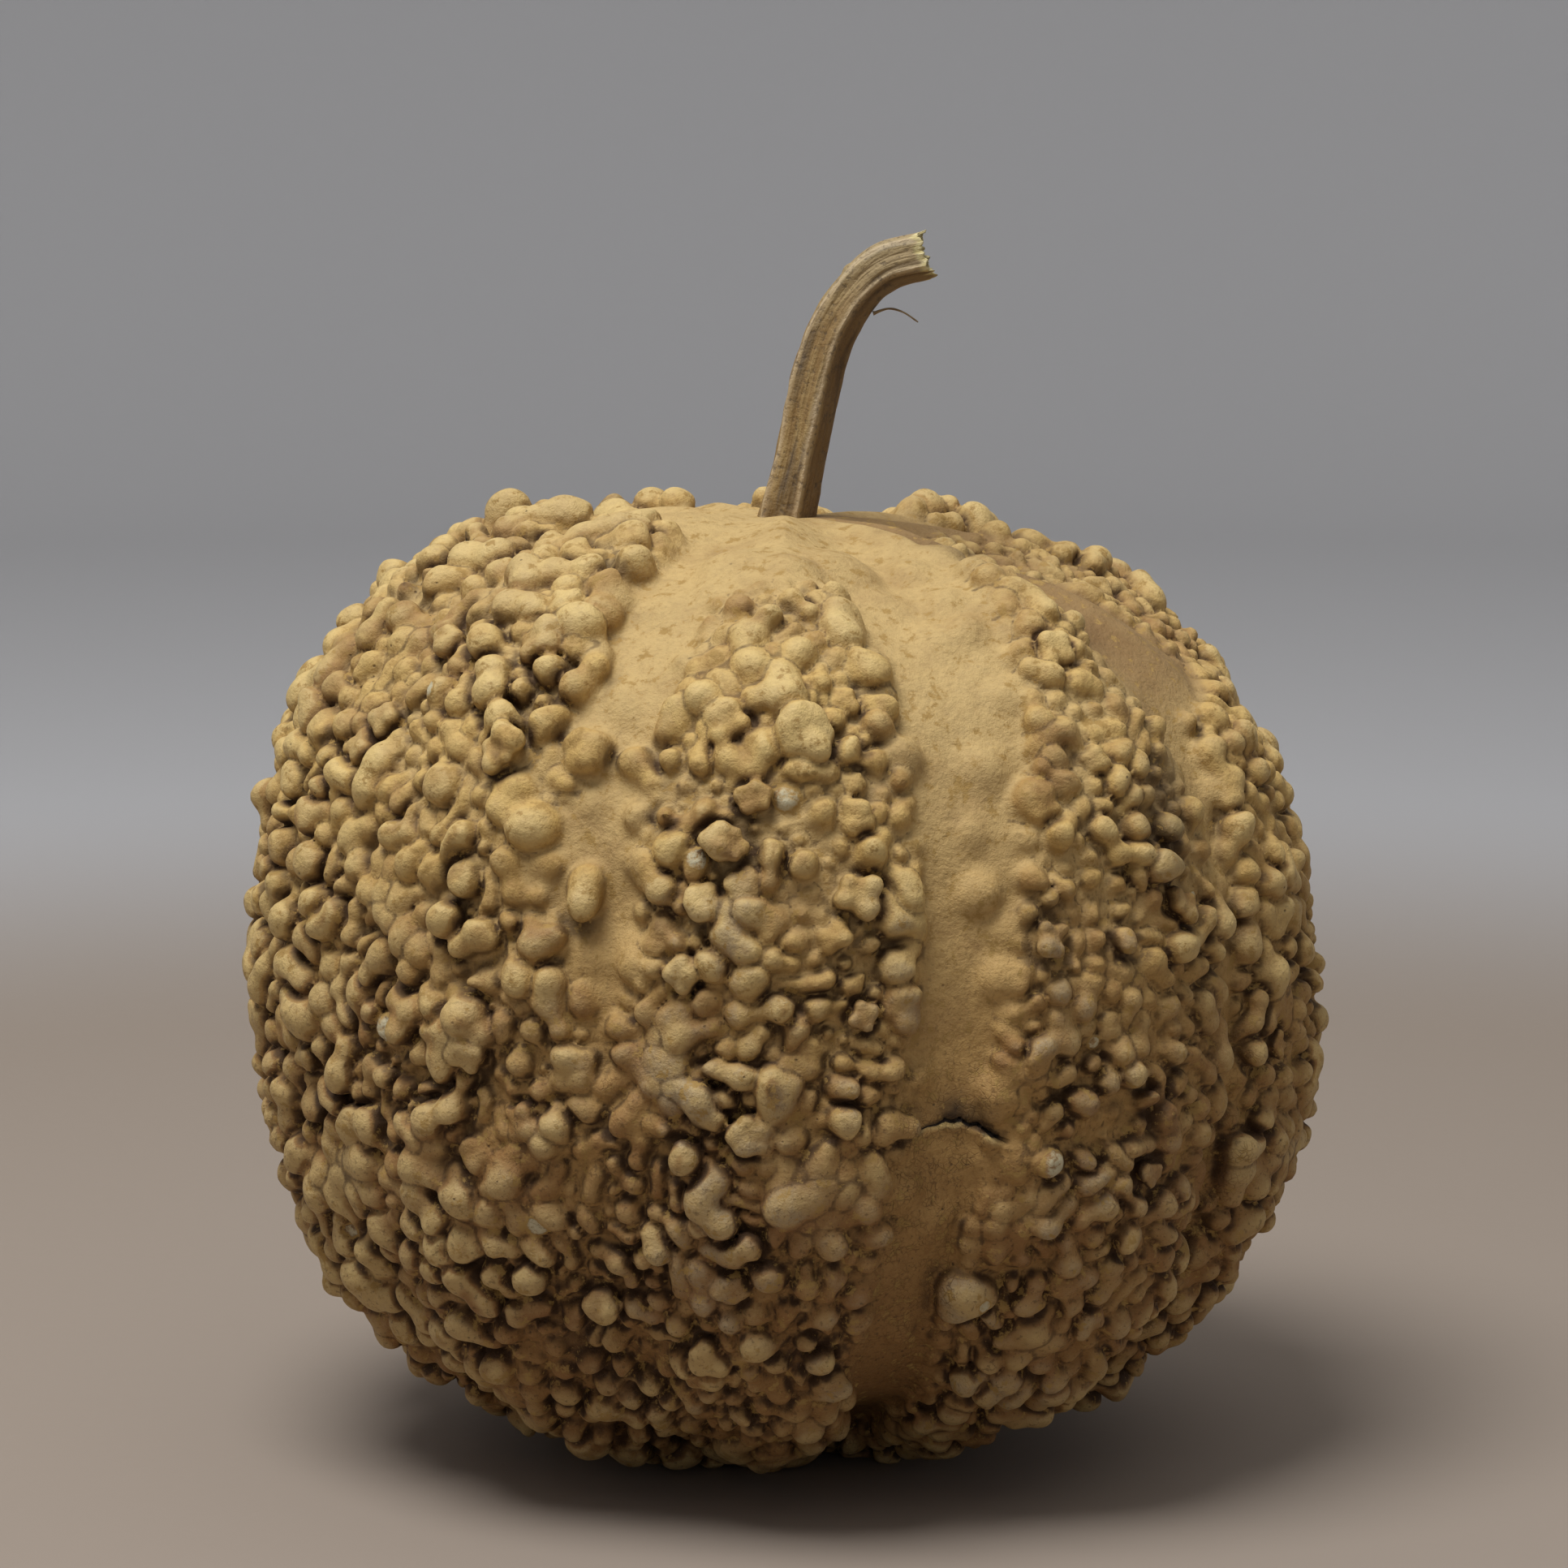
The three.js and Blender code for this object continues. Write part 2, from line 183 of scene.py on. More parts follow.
# Dry scabs on wart tops: longitude, latitude, radius.
SCABS = (
    (0, 26, 2.2), (-9.2, 20, 2.0), (-46.5, 0.5, 2.3), (28.5, -11.5, 2.5), (-27.5, -18.5, 1.7),
    (45, 50, 1.3), (-45.5, 34.5, 1.3), (33, 0.5, 1.1), (49, 14, 0.9), (-60, -24, 1.4), (23, -27.5, 1.2),
    (140, 10, 2), (-120, 15, 2), (175, -15, 1.8),
)
# The crack across the front furrow, as longitude, latitude.
CRACK = (
    (12.6, -8.5), (13.9, -8.4), (15.1, -7.8), (16.4, -7.7), (17.3, -7.2), (18.2, -7.5), (19.1, -7.25),
    (20.1, -7.9), (21, -7.8), (22.2, -8.8), (23.8, -9.4),
)
CRACK_WIDTH = 0.42
CRACK_DEPTH = 1.4
CRACK_LIP = 0.7
# Dark stains: longitude, latitude, spread in degrees, strength.
STAINS = (
    (48, 55, 5, 0.9), (56, 62, 6, 0.9), (75, 64, 9, 0.7), (52, 47, 5, 0.5), (47, 25, 4, 0.55),
    (45, 20, 3, 0.7), (18.2, -6.4, 1.6, 1.0), (20.5, -6.9, 1.4, 0.8), (27, 14, 2.5, 0.35),
    (150, 40, 8, 0.6), (-140, 50, 7, 0.5),
)


def direction_of(longitude, latitude):
    """The unit vector, or vectors, of these degrees."""
    lon, lat = np.radians(longitude), np.radians(latitude)
    return np.stack([np.cos(lat) * np.sin(lon), -np.cos(lat) * np.cos(lon), np.sin(lat)], -1)


def degrees_of(direction):
    """(longitude, latitude) of vectors from the fruit's middle, longitude from -90 to 270."""
    x, y, z = np.moveaxis(direction, -1, 0)
    longitude = (np.degrees(np.arctan2(x, -y)) + 90) % 360 - 90
    return longitude, np.degrees(np.arctan2(z, np.hypot(x, y)))


def smoothstep(low, high, value):
    t = np.clip((value - low) / (high - low), 0, 1)
    return t * t * (3 - 2 * t)


def turn(a, b):
    """Degrees from longitude b to a, from -180 to 180."""
    return (a - b + 180) % 360 - 180


def near(direction, longitude, latitude, spread):
    """1 at a place on the fruit, falling to 0 a few spreads away. direction holds unit vectors."""
    away = 2 - 2 * (direction @ direction_of(longitude, latitude))
    return np.exp(-away / np.radians(spread) ** 2)


# ---------------------------------------------------------------- settings


def length(name, description, default, **more):
    return FloatProperty(name=name, description=description, default=default, unit="LENGTH", **more)


def shade(name, description, default):
    return FloatVectorProperty(name=name, description=description, default=default, subtype="COLOR", size=3)


class FruitSettings(bpy.types.PropertyGroup):
    wart_rise: length("Wart rise", "How far the warts stand out, all round", 0.0045)
    middle: length("Middle", "Height of the middle of the fruit", 0.0945)
    base_drop: length("Base drop", "Middle to lowest skin, before the flat spot", 0.0965)
    shoulders: FloatProperty(
        name="Shoulders", description="How boxy the upper half is: 2 is an ellipse", default=2.75
    )
    base: FloatProperty(name="Base", description="How boxy the lower half is", default=2.35)
    crown_dip: length("Crown dip", "How far the skin sinks round the stem", 0.005)
    grain: length("Grain", "Spacing of the surface's points", 0.0007, min=0.0005)
    seed: IntProperty(name="Seed", description="Another number grows another set of warts", default=SEED)


class RindColours(bpy.types.PropertyGroup):
    pale: shade("Pale", "Skin on the sunny shoulders", (0.55, 0.385, 0.158))
    gold: shade("Gold", "Skin on the sides", (0.52, 0.32, 0.108))
    umber: shade("Umber", "Skin deep in the furrows", (0.22, 0.105, 0.03))
    wart: shade("Wart", "Tops of the warts", (0.62, 0.415, 0.135))
    bloom: shade("Bloom", "Grey powder on the lower warts", (0.37, 0.285, 0.175))
    # Dust specks over the rind, and also painted shade laid in its creases and closed-in hollows
    dust_and_shade: shade("Dirt", "Dust in the creases", (0.055, 0.026, 0.009))
    scab: shade("Scab", "Dry scabs", (0.56, 0.50, 0.33))


# ---------------------------------------------------------------- the block of distances


class Block:
    """A block of places on a grid, in millimetres from the fruit's middle. Its arrays run over z, x, y."""

    def __init__(self, half_width, half_depth, low, high, step):
        self.step = step
        self.low = np.array([low, -half_width, -half_depth])
        size = np.array([high - low, 2 * half_width, 2 * half_depth])
        self.shape = tuple(np.ceil(size / step).astype(int) + 1)
        axes = [start + step * np.arange(n) for start, n in zip(self.low, self.shape)]
        self.zs, self.xs, self.ys = (axis.astype(np.float32) for axis in axes)

    def window(self, centre, reach):
        """The slices that hold all places within reach of centre (x, y, z), and their offsets from it."""
        middle = np.array([centre[2], centre[0], centre[1]])
        first = np.maximum(np.floor((middle - reach - self.low) / self.step).astype(int), 0)
        last = np.minimum(np.ceil((middle + reach - self.low) / self.step).astype(int) + 1, self.shape)
        cut = tuple(slice(a, b) for a, b in zip(first, last))
        dz = (self.zs[cut[0]] - middle[0])[:, None, None]
        dx = (self.xs[cut[1]] - middle[1])[None, :, None]
        dy = (self.ys[cut[2]] - middle[2])[None, None, :]
        return cut, dx, dy, dz

    def sample(self, values, places):
        """Values at places (x, y, z), by linear steps between the grid's."""
        at = (places[:, [2, 0, 1]] - self.low) / self.step
        at = np.clip(at, 0, np.array(self.shape) - 1.001)
        whole = at.astype(np.int32)
        part = (at - whole).astype(np.float32)
        total = np.zeros(len(places), np.float32)
        for corner in np.ndindex(2, 2, 2):
            weight = np.prod(np.where(corner, part, 1 - part), axis=1)
            i, j, k = (whole + corner).T
            total += weight * values[i, j, k]
        return total

    def noise(self, rng, size):
        """Smooth noise about 0, whose bumps are about size across, over the whole block."""
        counts = [int(n * self.step / size) + 4 for n in self.shape]
        values = rng.standard_normal(counts).astype(np.float32)
        for axis, (n, knots) in enumerate(zip(self.shape, counts)):
            weights = spline_weights(n, knots)
            values = np.moveaxis(np.tensordot(weights, values, (1, axis)), 0, axis)
        return np.ascontiguousarray(values / values.std())


def spline_parts(at):
    """Places in whole steps, and the weights of the four knots round each: a cubic B-spline."""
    whole = at.astype(int)
    t = at - whole
    parts = ((1 - t) ** 3, 3 * t**3 - 6 * t**2 + 4, -3 * t**3 + 3 * t**2 + 3 * t + 1, t**3)
    return whole, [part / 6 for part in parts]


def spline_weights(count, knots):
    """How much each of some evenly spaced knots weighs at each of count places."""
    whole, parts = spline_parts(np.linspace(1, knots - 2.001, count))
    weights = np.zeros((count, knots), np.float32)
    for shift, part in enumerate(parts):
        weights[np.arange(count), whole - 1 + shift] = part
    return weights


def smooth_union(a, b, blend):
    """The nearer of two surfaces, with a fillet about blend wide where they meet."""
    share = np.clip(0.5 + 0.5 * (b - a) / blend, 0, 1)
    return b + (a - b) * share - blend * share * (1 - share)


TABLE_ROWS = 900
LOBE_RISE = 0.8  # how far the skin under the warts stands above the bare strips
CROWN_SPARE = 1.5  # the skin's top is this far past the frame's, because the crown sinks
INNERMOST, USUAL, OUTERMOST = 62, 92, 122  # distances of the skin from the fruit's middle


class Skin:
    """The bare skin's shape."""

    def __init__(self, settings):
        rise = settings.wart_rise / MM
        self.half_width = FRUIT_SIZE.x / MM / 2 - rise
        self.half_depth = FRUIT_SIZE.y / MM / 2 - rise
        self.middle = settings.middle / MM
        self.top = FRUIT_HIGH.z / MM - self.middle + CROWN_SPARE
        self.drop = settings.base_drop / MM
        self.shoulders, self.base = settings.shoulders, settings.base
        self.crown_dip = settings.crown_dip / MM

        lats = np.linspace(-90, 90, TABLE_ROWS)
        lons = np.linspace(-90, 270, 2 * TABLE_ROWS)
        lats, lons = np.meshgrid(lats, lons, indexing="ij")
        unit = direction_of(lons, lats)
        lobes = (1 - bareness(lons, lats)) * smoothstep(66, 56, lats)
        self.table = (self.bare_radius(*np.moveaxis(unit, -1, 0)) + LOBE_RISE * lobes).astype(np.float32)

    def radius(self, x, y, z):
        """Distance from the middle to the skin, towards each x, y, z."""
        longitude = (np.degrees(np.arctan2(x, -y)) + 90) % 360
        latitude = np.degrees(np.arctan2(z, np.hypot(x, y))) + 90
        rows, columns = self.table.shape
        i, j = latitude * (rows - 1) / 180, longitude * (columns - 1) / 360
        low_i = np.minimum(i.astype(np.int32), rows - 2)
        low_j = np.minimum(j.astype(np.int32), columns - 2)
        i, j = i - low_i, j - low_j
        table = self.table
        south = table[low_i, low_j] * (1 - j) + table[low_i, low_j + 1] * j
        north = table[low_i + 1, low_j] * (1 - j) + table[low_i + 1, low_j + 1] * j
        return south * (1 - i) + north * i

    def bare_radius(self, x, y, z):
        """The same without the lobes' rise, worked out in full."""
        reach = np.sqrt(x * x + y * y + z * z) + 1e-6
        level = np.sqrt((x / self.half_width) ** 2 + (y / self.half_depth) ** 2) / reach
        power = np.where(z > 0, self.shoulders, self.base)
        upright = np.abs(z) / np.where(z > 0, self.top, self.drop) / reach
        bare = (level**power + upright**power) ** (-1 / power)
        round_ = np.sqrt(x * x + y * y) / reach
        sine = z / reach
        gain = 1 + np.where(z > 0, 1.3, 2.4) * sine * sine
        gain = gain * smoothstep(0.05, 0.5, round_)
        longitude = np.degrees(np.arctan2(x, -y))
        wobble = 1.6 * np.sin(5 * sine + longitude / 17)
        deepest = 0
        for middle, depth, half in FURROWS:
            away = turn(longitude + wobble, middle) * np.maximum(round_, 0.45) / half
            groove = 0.65 * np.exp(-away * away) + 0.35 * np.exp(-away * away / 5)
            deepest = np.maximum(deepest, depth * groove)
        swell = 0
        unit = np.stack(np.broadcast_arrays(x / reach, y / reach, sine), -1)
        for east, north, spread, rise in SWELLS:
            swell = swell + rise * near(unit, east, north, spread)
        dip = self.crown_dip * np.exp(-((round_ / np.sin(np.radians(15))) ** 2)) * (z > 0)
        return bare - gain * deepest + swell - dip

    def place(self, longitude, latitude):
        """The point of the skin at these degrees."""
        unit = direction_of(longitude, latitude)
        return unit * self.radius(unit[..., 0], unit[..., 1], unit[..., 2])[..., None]

    def distances(self, block):
        """About how far each place of the block is from the skin, negative inside."""
        field = np.empty(block.shape, np.float32)
        x, y = block.xs[:, None], block.ys[None, :]
        for k, z in enumerate(block.zs):
            reach = np.sqrt(x * x + y * y + z * z)
            field[k] = reach - USUAL
            at = np.nonzero((reach > INNERMOST) & (reach < OUTERMOST))
            if len(at[0]):
                sx, sy = block.xs[at[0]], block.ys[at[1]]
                field[k][at] = reach[at] - self.radius(sx, sy, z)
        steep = np.ones(block.shape, np.float32) * 1e-6
        for axis in range(3):
            slope = np.gradient(field, block.step, axis=axis)
            steep += slope * slope
        return field / np.sqrt(np.clip(steep, 0.8, 3))


# ---------------------------------------------------------------- warts

BOX = 9.0  # more than any two balls' reach
WART_RADII = (4.7, 4.2, 3.8, 3.4, 3.0, 2.7, 2.4, 2.1, 1.8, 1.6)
THROWS = 260000  # for a ball 1 mm in radius; larger ones get fewer by their area
STRAY = 1.2  # how many degrees the edges of the patches of warts waver
# Neighbouring balls stand this share of their radii's sum apart, plus this share of the larger radius.
CROWDING = 0.52
LARGER_KEEPS = 0.2
JOINS = (0.16, 0.3, 0.32, 0.22)  # how often a wart has none to three more balls than one
JOIN_GAP = 0.3  # balls further apart than this aren't joined
BUDS = 0.28  # how often a ball has a small one at its side, and how much oftener where wrinkled
PEAR_FROM, TRIPLE_FROM = 2.6, 3.4  # larger domes have one swelling at their side, and still larger ones two
# How widely the balls of a wart flow into one another, and the lobes of a clump.
BALL_BLEND = 1.6
LOBE_BLEND = 0.6
# Where warts meet: how widely they flow together, or else how deep and wide the crease between them is.
FLOW = 0.8
CREASE_DEPTH = 1.35
CREASE_WIDTH = 0.9
FAR = 9  # a distance at which a wart no longer counts


def bareness(longitude, latitude):
    """1 inside a strip of bare skin, 0 outside, soft over a degree or two."""
    most = np.zeros_like(longitude)
    for strip in BARE_STRIPS:
        lats, west, east = np.array(strip, float).T
        left = np.interp(latitude, lats, west)
        right = np.interp(latitude, lats, east)
        middle, half = (left + right) / 2, (right - left) / 2
        inside = smoothstep(0.9, -0.9, np.abs(turn(longitude, middle)) - half)
        most = np.maximum(most, inside * smoothstep(lats[0] - 4, lats[0], latitude))
    return most


def patch_at(longitude, latitude):
    """(share filled, largest radius, wrinkles) of the patch of warts at one place."""
    for west, east, south, north, share, largest, wrinkle in PATCHES:
        if west <= longitude <= east and south <= latitude < north:
            return share, largest, wrinkle
    return 0.0, 0.0, 0.0


class Crowd:
    """The balls so far, sorted into boxes so that a new one is compared with its neighbours only."""

    def __init__(self):
        self.boxes = {}

    def add(self, place, radius):
        """Keeps a ball, whose box and the ones round it then know of it."""
        i, j, k = (int(v // BOX) for v in place)
        entry = (*place, radius)
        for a in (i - 1, i, i + 1):
            for b in (j - 1, j, j + 1):
                for c in (k - 1, k, k + 1):
                    self.boxes.setdefault((a, b, c), []).append(entry)

    def has_room(self, place, radius):
        x, y, z = place
        for a, b, c, other in self.boxes.get((int(x // BOX), int(y // BOX), int(z // BOX)), ()):
            apart = CROWDING * (radius + other) + LARGER_KEEPS * max(radius, other)
            if (x - a) ** 2 + (y - b) ** 2 + (z - c) ** 2 < apart**2:
                return False
        return True


def scatter_warts(skin, rng):
    """The warts, each as its wrinkles, how far its balls flow together, and their (centre, radius): the
    great ones first, then smaller and smaller balls in the room left, joined into warts."""
    crowd = Crowd()
    warts = []
    under_scabs = [(longitude, latitude, 1.3 * radius + 0.6) for longitude, latitude, radius in SCABS]
    for kind, great in (("dome", under_scabs), ("dome", DOMES), ("clump", CLUMPS), ("worm", WORMS)):
        for longitude, latitude, radius, *shape in great:
            wrinkle = patch_at(longitude, latitude)[2]
            place, unit = skin.place(longitude, latitude), direction_of(longitude, latitude)
            balls = great_wart(rng, place, unit, radius, kind, *shape)
            for centre, size in balls:
                crowd.add(centre - unit * ((centre - place) @ unit), size)
            warts.append((0.6 * wrinkle, LOBE_BLEND if kind == "clump" else BALL_BLEND, balls))
    loose = []
    for radius in WART_RADII:
        throws = int(THROWS / radius**2 * min(1, (5.3 - radius) / 2.5) ** 2)
        units = rng.standard_normal((throws, 3))
        units /= np.linalg.norm(units, axis=1)[:, None]
        longitude, latitude = degrees_of(units)
        strays = rng.normal(0, STRAY, (throws, 2))
        chances = rng.random((throws, 3))
        edges = bareness(longitude, latitude)
        warty = np.nonzero(edges < 0.5)[0]
        places = skin.place(longitude, latitude)
        for i in warty:
            share, largest, wrinkle = patch_at(longitude[i] + strays[i, 0], latitude[i] + strays[i, 1])
            if radius > largest or chances[i, 0] > share or not crowd.has_room(places[i], radius):
                continue
            size = radius * (0.92 + 0.25 * chances[i, 1])
            crowd.add(places[i], size)
            stand = (0.45 * chances[i, 2] - 0.08 - 0.9 * edges[i]) * size
            loose.append((places[i] + units[i] * stand, size, wrinkle))
    return warts + joined(loose, rng)


def joined(loose, rng):
    """Loose balls joined to their neighbours, as warts of one to four."""
    centres = np.array([ball[0] for ball in loose])
    sizes = np.array([ball[1] for ball in loose])
    free = np.ones(len(loose), bool)
    warts = []
    for i in rng.permutation(len(loose)):
        if not free[i]:
            continue
        free[i] = False
        balls = [loose[i][:2]]
        last = i
        for _ in range(int(rng.choice(4, p=JOINS))):
            gap = np.linalg.norm(centres - centres[last], axis=1) - 0.9 * (sizes + sizes[last])
            last = int(np.argmin(np.where(free, gap, np.inf)))
            if not free[last] or gap[last] > JOIN_GAP:
                break
            free[last] = False
            balls.append(loose[last][:2])
        for centre, size in list(balls):
            if rng.random() < BUDS + BUDS * loose[i][2]:
                side = rng.standard_normal(3)
                side += (0.6 - side @ centre / (centre @ centre)) * centre / np.linalg.norm(centre)
                side *= size * rng.uniform(0.62, 0.85) / np.linalg.norm(side)
                balls.append((centre + side, size * rng.uniform(0.42, 0.62)))
        warts.append((loose[i][2], BALL_BLEND, balls))
    return warts


def frame_at(unit, spin):
    """Two directions along the skin, turned by spin, and the one out of it."""
    side = np.cross([0.0, 0.0, 1.0], unit)
    side /= np.linalg.norm(side) + 1e-9
    up = np.cross(unit, side)
    along = math.cos(spin) * side + math.sin(spin) * up
    return along, np.cross(unit, along), unit


def great_wart(rng, place, unit, radius, kind, heading=None, length=4):
    """The balls of one wart: a dome, a clump of lobes or a winding worm."""
    spin = rng.uniform(0, math.pi)
    along, across, out = frame_at(unit, spin if heading is None else math.radians(heading))
    middle = place + out * rng.uniform(0.0, 0.3) * radius
    if kind == "dome":
        balls = [(middle, radius)]
        for _ in range(int(radius > PEAR_FROM) + int(radius > TRIPLE_FROM)):
            lean = along * rng.uniform(-0.9, 0.9) + across * rng.uniform(-0.9, 0.9)
            lean = lean + out * rng.uniform(-0.2, 0.3)
            balls.append((middle + lean * radius, radius * rng.uniform(0.5, 0.75)))
        return balls
    if kind == "clump":
        lobes = int(rng.integers(4, 7))
        start = rng.uniform(0, 2 * math.pi)
        balls = [(middle, radius * 0.72)]
        for i in range(lobes):
            angle = start + 2 * math.pi * (i + rng.uniform(-0.2, 0.2)) / lobes
            lean = rng.uniform(0.7, 1.25)
            sideways = math.cos(angle) * along + math.sin(angle) * across
            spot = math.sin(lean) * sideways + math.cos(lean) * out
            balls.append((middle + spot * radius * 0.62, radius * rng.uniform(0.42, 0.58)))
        return balls
    count = max(2, round(length * 0.8))
    heading = rng.uniform(-0.2, 0.2)
    bend = rng.uniform(-0.55, 0.55)
    spots = [np.zeros(3)]
    for _ in range(count - 1):
        heading += bend
        spots.append(spots[-1] + radius * 1.05 * (math.cos(heading) * along + math.sin(heading) * across))
    centre = sum(spots) / count
    return [(middle + spot - centre, radius * rng.uniform(0.88, 1.12)) for spot in spots]


class Warts:
    """The distances to the nearest and the second nearest wart, over a block."""

    def __init__(self, block, rng):
        self.block = block
        self.rng = rng
        self.tint = np.full(block.shape, 0.5, np.float32)
        self.nearest = np.full(block.shape, FAR, np.float32)
        self.second = np.full(block.shape, FAR, np.float32)
        self.lumps = 0.5 * block.noise(rng, 6) + 0.16 * block.noise(rng, 3)
        self.wrinkles = np.exp(-((block.noise(rng, 3.6) / 0.2) ** 2))
        self.sharp = smoothstep(-1.9, -0.3, block.noise(rng, 8))

    def grow(self, wrinkle, blend, balls):
        """Adds one wart, whose balls flow into one another."""
        start = sum(centre for centre, size in balls) / len(balls)
        reach = max(np.linalg.norm(centre - start) + size for centre, size in balls)
        cut, dx, dy, dz = self.block.window(start, reach + 1.8)
        away = np.float32(FAR)
        for centre, size in balls:
            x, y, z = (centre - start).astype(np.float32)
            ball = np.sqrt((dx - x) ** 2 + (dy - y) ** 2 + (dz - z) ** 2) - np.float32(size)
            away = smooth_union(away, ball, np.float32(blend))
        bulk = min(1.3, max(size for centre, size in balls) / 3)
        away = (away + bulk * self.lumps[cut] + 0.35 * wrinkle * self.wrinkles[cut]).astype(np.float32)
        nearest, second = self.nearest[cut], self.second[cut]
        np.copyto(self.tint[cut], np.float32(self.rng.random()), where=away < nearest)
        np.minimum(second, np.maximum(nearest, away), out=second)
        np.minimum(nearest, away, out=nearest)

    def surface(self):
        """The warts as one surface. Where two of them meet they flow together, or a crease parts them."""
        gap = self.second - self.nearest
        flow = self.nearest - FLOW / 4 * np.clip(1 - gap / FLOW, 0, 1) ** 2
        crease = self.nearest + CREASE_DEPTH * np.exp(-((gap / CREASE_WIDTH) ** 2))
        top = smoothstep(10, 55, self.block.zs)[:, None, None]
        return flow + (crease - flow) * self.sharp * (1 - 0.25 * top)

    def marks(self, points):
        """How deep in a crease between warts each point is, and its wart's tint."""
        nearest = self.block.sample(self.nearest, points)
        gap = self.block.sample(self.second, points) - nearest
        crease = np.exp(-((gap / CREASE_WIDTH) ** 2)) * smoothstep(2.4, 0.9, nearest)
        return {"crease": crease, "tint": self.block.sample(self.tint, points)}


# ---------------------------------------------------------------- the fruit

MARGIN = 3  # room in the block past the skin and its warts
TOP_MARGIN = 7
BLISTER_FILLET = 1.6
TOP_FILLET, LOW_FILLET = 1.9, 1.3  # between warts and skin, on the shoulders and low down
BASE_FILLET = 1.2  # round the flat spot that the fruit rests on
CRACK_REACH = 95  # from the fruit's middle to the crack
CRACK_WIDENS = (15, 19)  # the longitudes between which the crack grows from thin to full width
CHART_SHARE = 0.94  # of each chart's side that is used


def beside_crack(points):
    """How far points are above the crack's line, and how far past its ends."""
    longitude, latitude = degrees_of(points)
    lons, lats = np.array(CRACK).T
    above = np.radians(latitude - np.interp(longitude, lons, lats)) * CRACK_REACH
    past = np.maximum(lons[0] - longitude, longitude - lons[-1])
    return above, np.radians(past) * CRACK_REACH


def carve_crack(block, field, skin):
    """Cuts the crack as a groove, thin at its west end, and lifts its lower lip."""
    middle = np.mean([skin.place(*spot) for spot in CRACK], axis=0)
    cut, dx, dy, dz = block.window(middle, 16)
    places = np.stack(np.broadcast_arrays(dx, dy, dz), -1) + middle
    above, past = beside_crack(places)
    inside = smoothstep(1.2, -2.5, past)
    deep = 0.3 + 0.7 * smoothstep(*CRACK_WIDENS, degrees_of(places)[0])
    groove = CRACK_DEPTH * np.exp(-((above / CRACK_WIDTH) ** 2))
    lip = CRACK_LIP * np.exp(-(((above + CRACK_WIDTH * 2.4) / (CRACK_WIDTH * 1.6)) ** 2))
    field[cut] += inside * deep * (groove - lip)


def softened(field):
    """The field with steps between neighbouring places evened out a little."""
    for axis in range(3):
        along = np.moveaxis(field, axis, 0)
        middle = along[1:-1] * 0.8 + (along[:-2] + along[2:]) * 0.1
        along[1:-1] = middle
    return field


def fruit_shape(settings):
    """The block, the finished distances, those of the bare skin, and the warts."""
    rng = np.random.default_rng(settings.seed)
    skin = Skin(settings)
    most = settings.wart_rise / MM
    block = Block(
        skin.half_width + most + MARGIN, skin.half_depth + most + MARGIN,
        -skin.middle - MARGIN, FRUIT_HIGH.z / MM - skin.middle + TOP_MARGIN, settings.grain / MM,
    )
    bare = skin.distances(block)
    bare += 0.3 * block.noise(rng, 11) + 0.1 * block.noise(rng, 3.2)
    lumps = 0.4 * block.noise(rng, 4.5)
    for longitude, latitude, radius, rise in BLISTERS:
        cut, dx, dy, dz = block.window(skin.place(longitude, latitude), radius * 1.6 + 2)
        ball_radius = (radius**2 + rise**2) / 2 / rise
        x, y, z = direction_of(longitude, latitude) * (rise - ball_radius)
        ball = np.sqrt((dx - x) ** 2 + (dy - y) ** 2 + (dz - z) ** 2) - ball_radius
        bare[cut] = smooth_union(bare[cut], ball + 0.6 * lumps[cut], BLISTER_FILLET)
    warts = Warts(block, rng)
    for wart in scatter_warts(skin, rng):
        warts.grow(*wart)
    fillet = LOW_FILLET + (TOP_FILLET - LOW_FILLET) * smoothstep(-5, 55, block.zs)[:, None, None]
    field = softened(softened(smooth_union(bare, warts.surface(), fillet)))
    for longitude, latitude, radius in SCABS:
        unit = direction_of(longitude, latitude)
        centre = top_of(block, field, unit) + unit * radius
        cut, dx, dy, dz = block.window(centre, radius + 2)
        field[cut] = np.maximum(field[cut], radius * 1.15 - np.sqrt(dx * dx + dy * dy + dz * dz))
    carve_crack(block, field, skin)
    floor = -skin.middle - block.zs[:, None, None]
    field = -smooth_union(-floor, -field, BASE_FILLET)
    return block, field.astype(np.float32), bare, warts


def top_of(block, field, unit):
    """Where a line from the middle leaves the surface."""
    reaches = np.arange(70, 118, 0.3)
    values = block.sample(field, unit[None] * reaches[:, None])
    inside = np.nonzero(values < 0)[0]
    return unit * reaches[inside[-1]]


def polygons_of(block, field):
    """Points in millimetres from the middle, and faces of four, of the surface where field is 0."""
    grid = openvdb.FloatGrid(3.0)
    grid.copyFromArray(np.clip(field, -3, 3), tolerance=0.0)
    points, _, quads = grid.convertToPolygons(isovalue=0.0, adaptivity=0.0)
    points = (points * block.step + block.low)[:, [1, 2, 0]]
    a, b, c, d = (points[quads[:, i]] for i in range(4))
    if (np.cross(c - a, d - b) * (a + b + c + d)).sum() < 0:
        quads = quads[:, ::-1]
    return points, largest_piece(len(points), quads)


def largest_piece(count, quads):
    """The faces of the largest connected piece."""
    label = np.arange(count)
    while True:
        least = label[quads].min(axis=1)
        fresh = label.copy()
        for i in range(4):
            np.minimum.at(fresh, quads[:, i], least)
        fresh = fresh[fresh]
        if (fresh == label).all():
            break
        label = fresh
    names, counts = np.unique(label[quads[:, 0]], return_counts=True)
    return quads[label[quads[:, 0]] == names[counts.argmax()]]


def used_only(points, quads):
    """The points that the faces use, and the faces that use them."""
    used, inverse = np.unique(quads, return_inverse=True)
    return points[used], inverse.reshape(quads.shape)


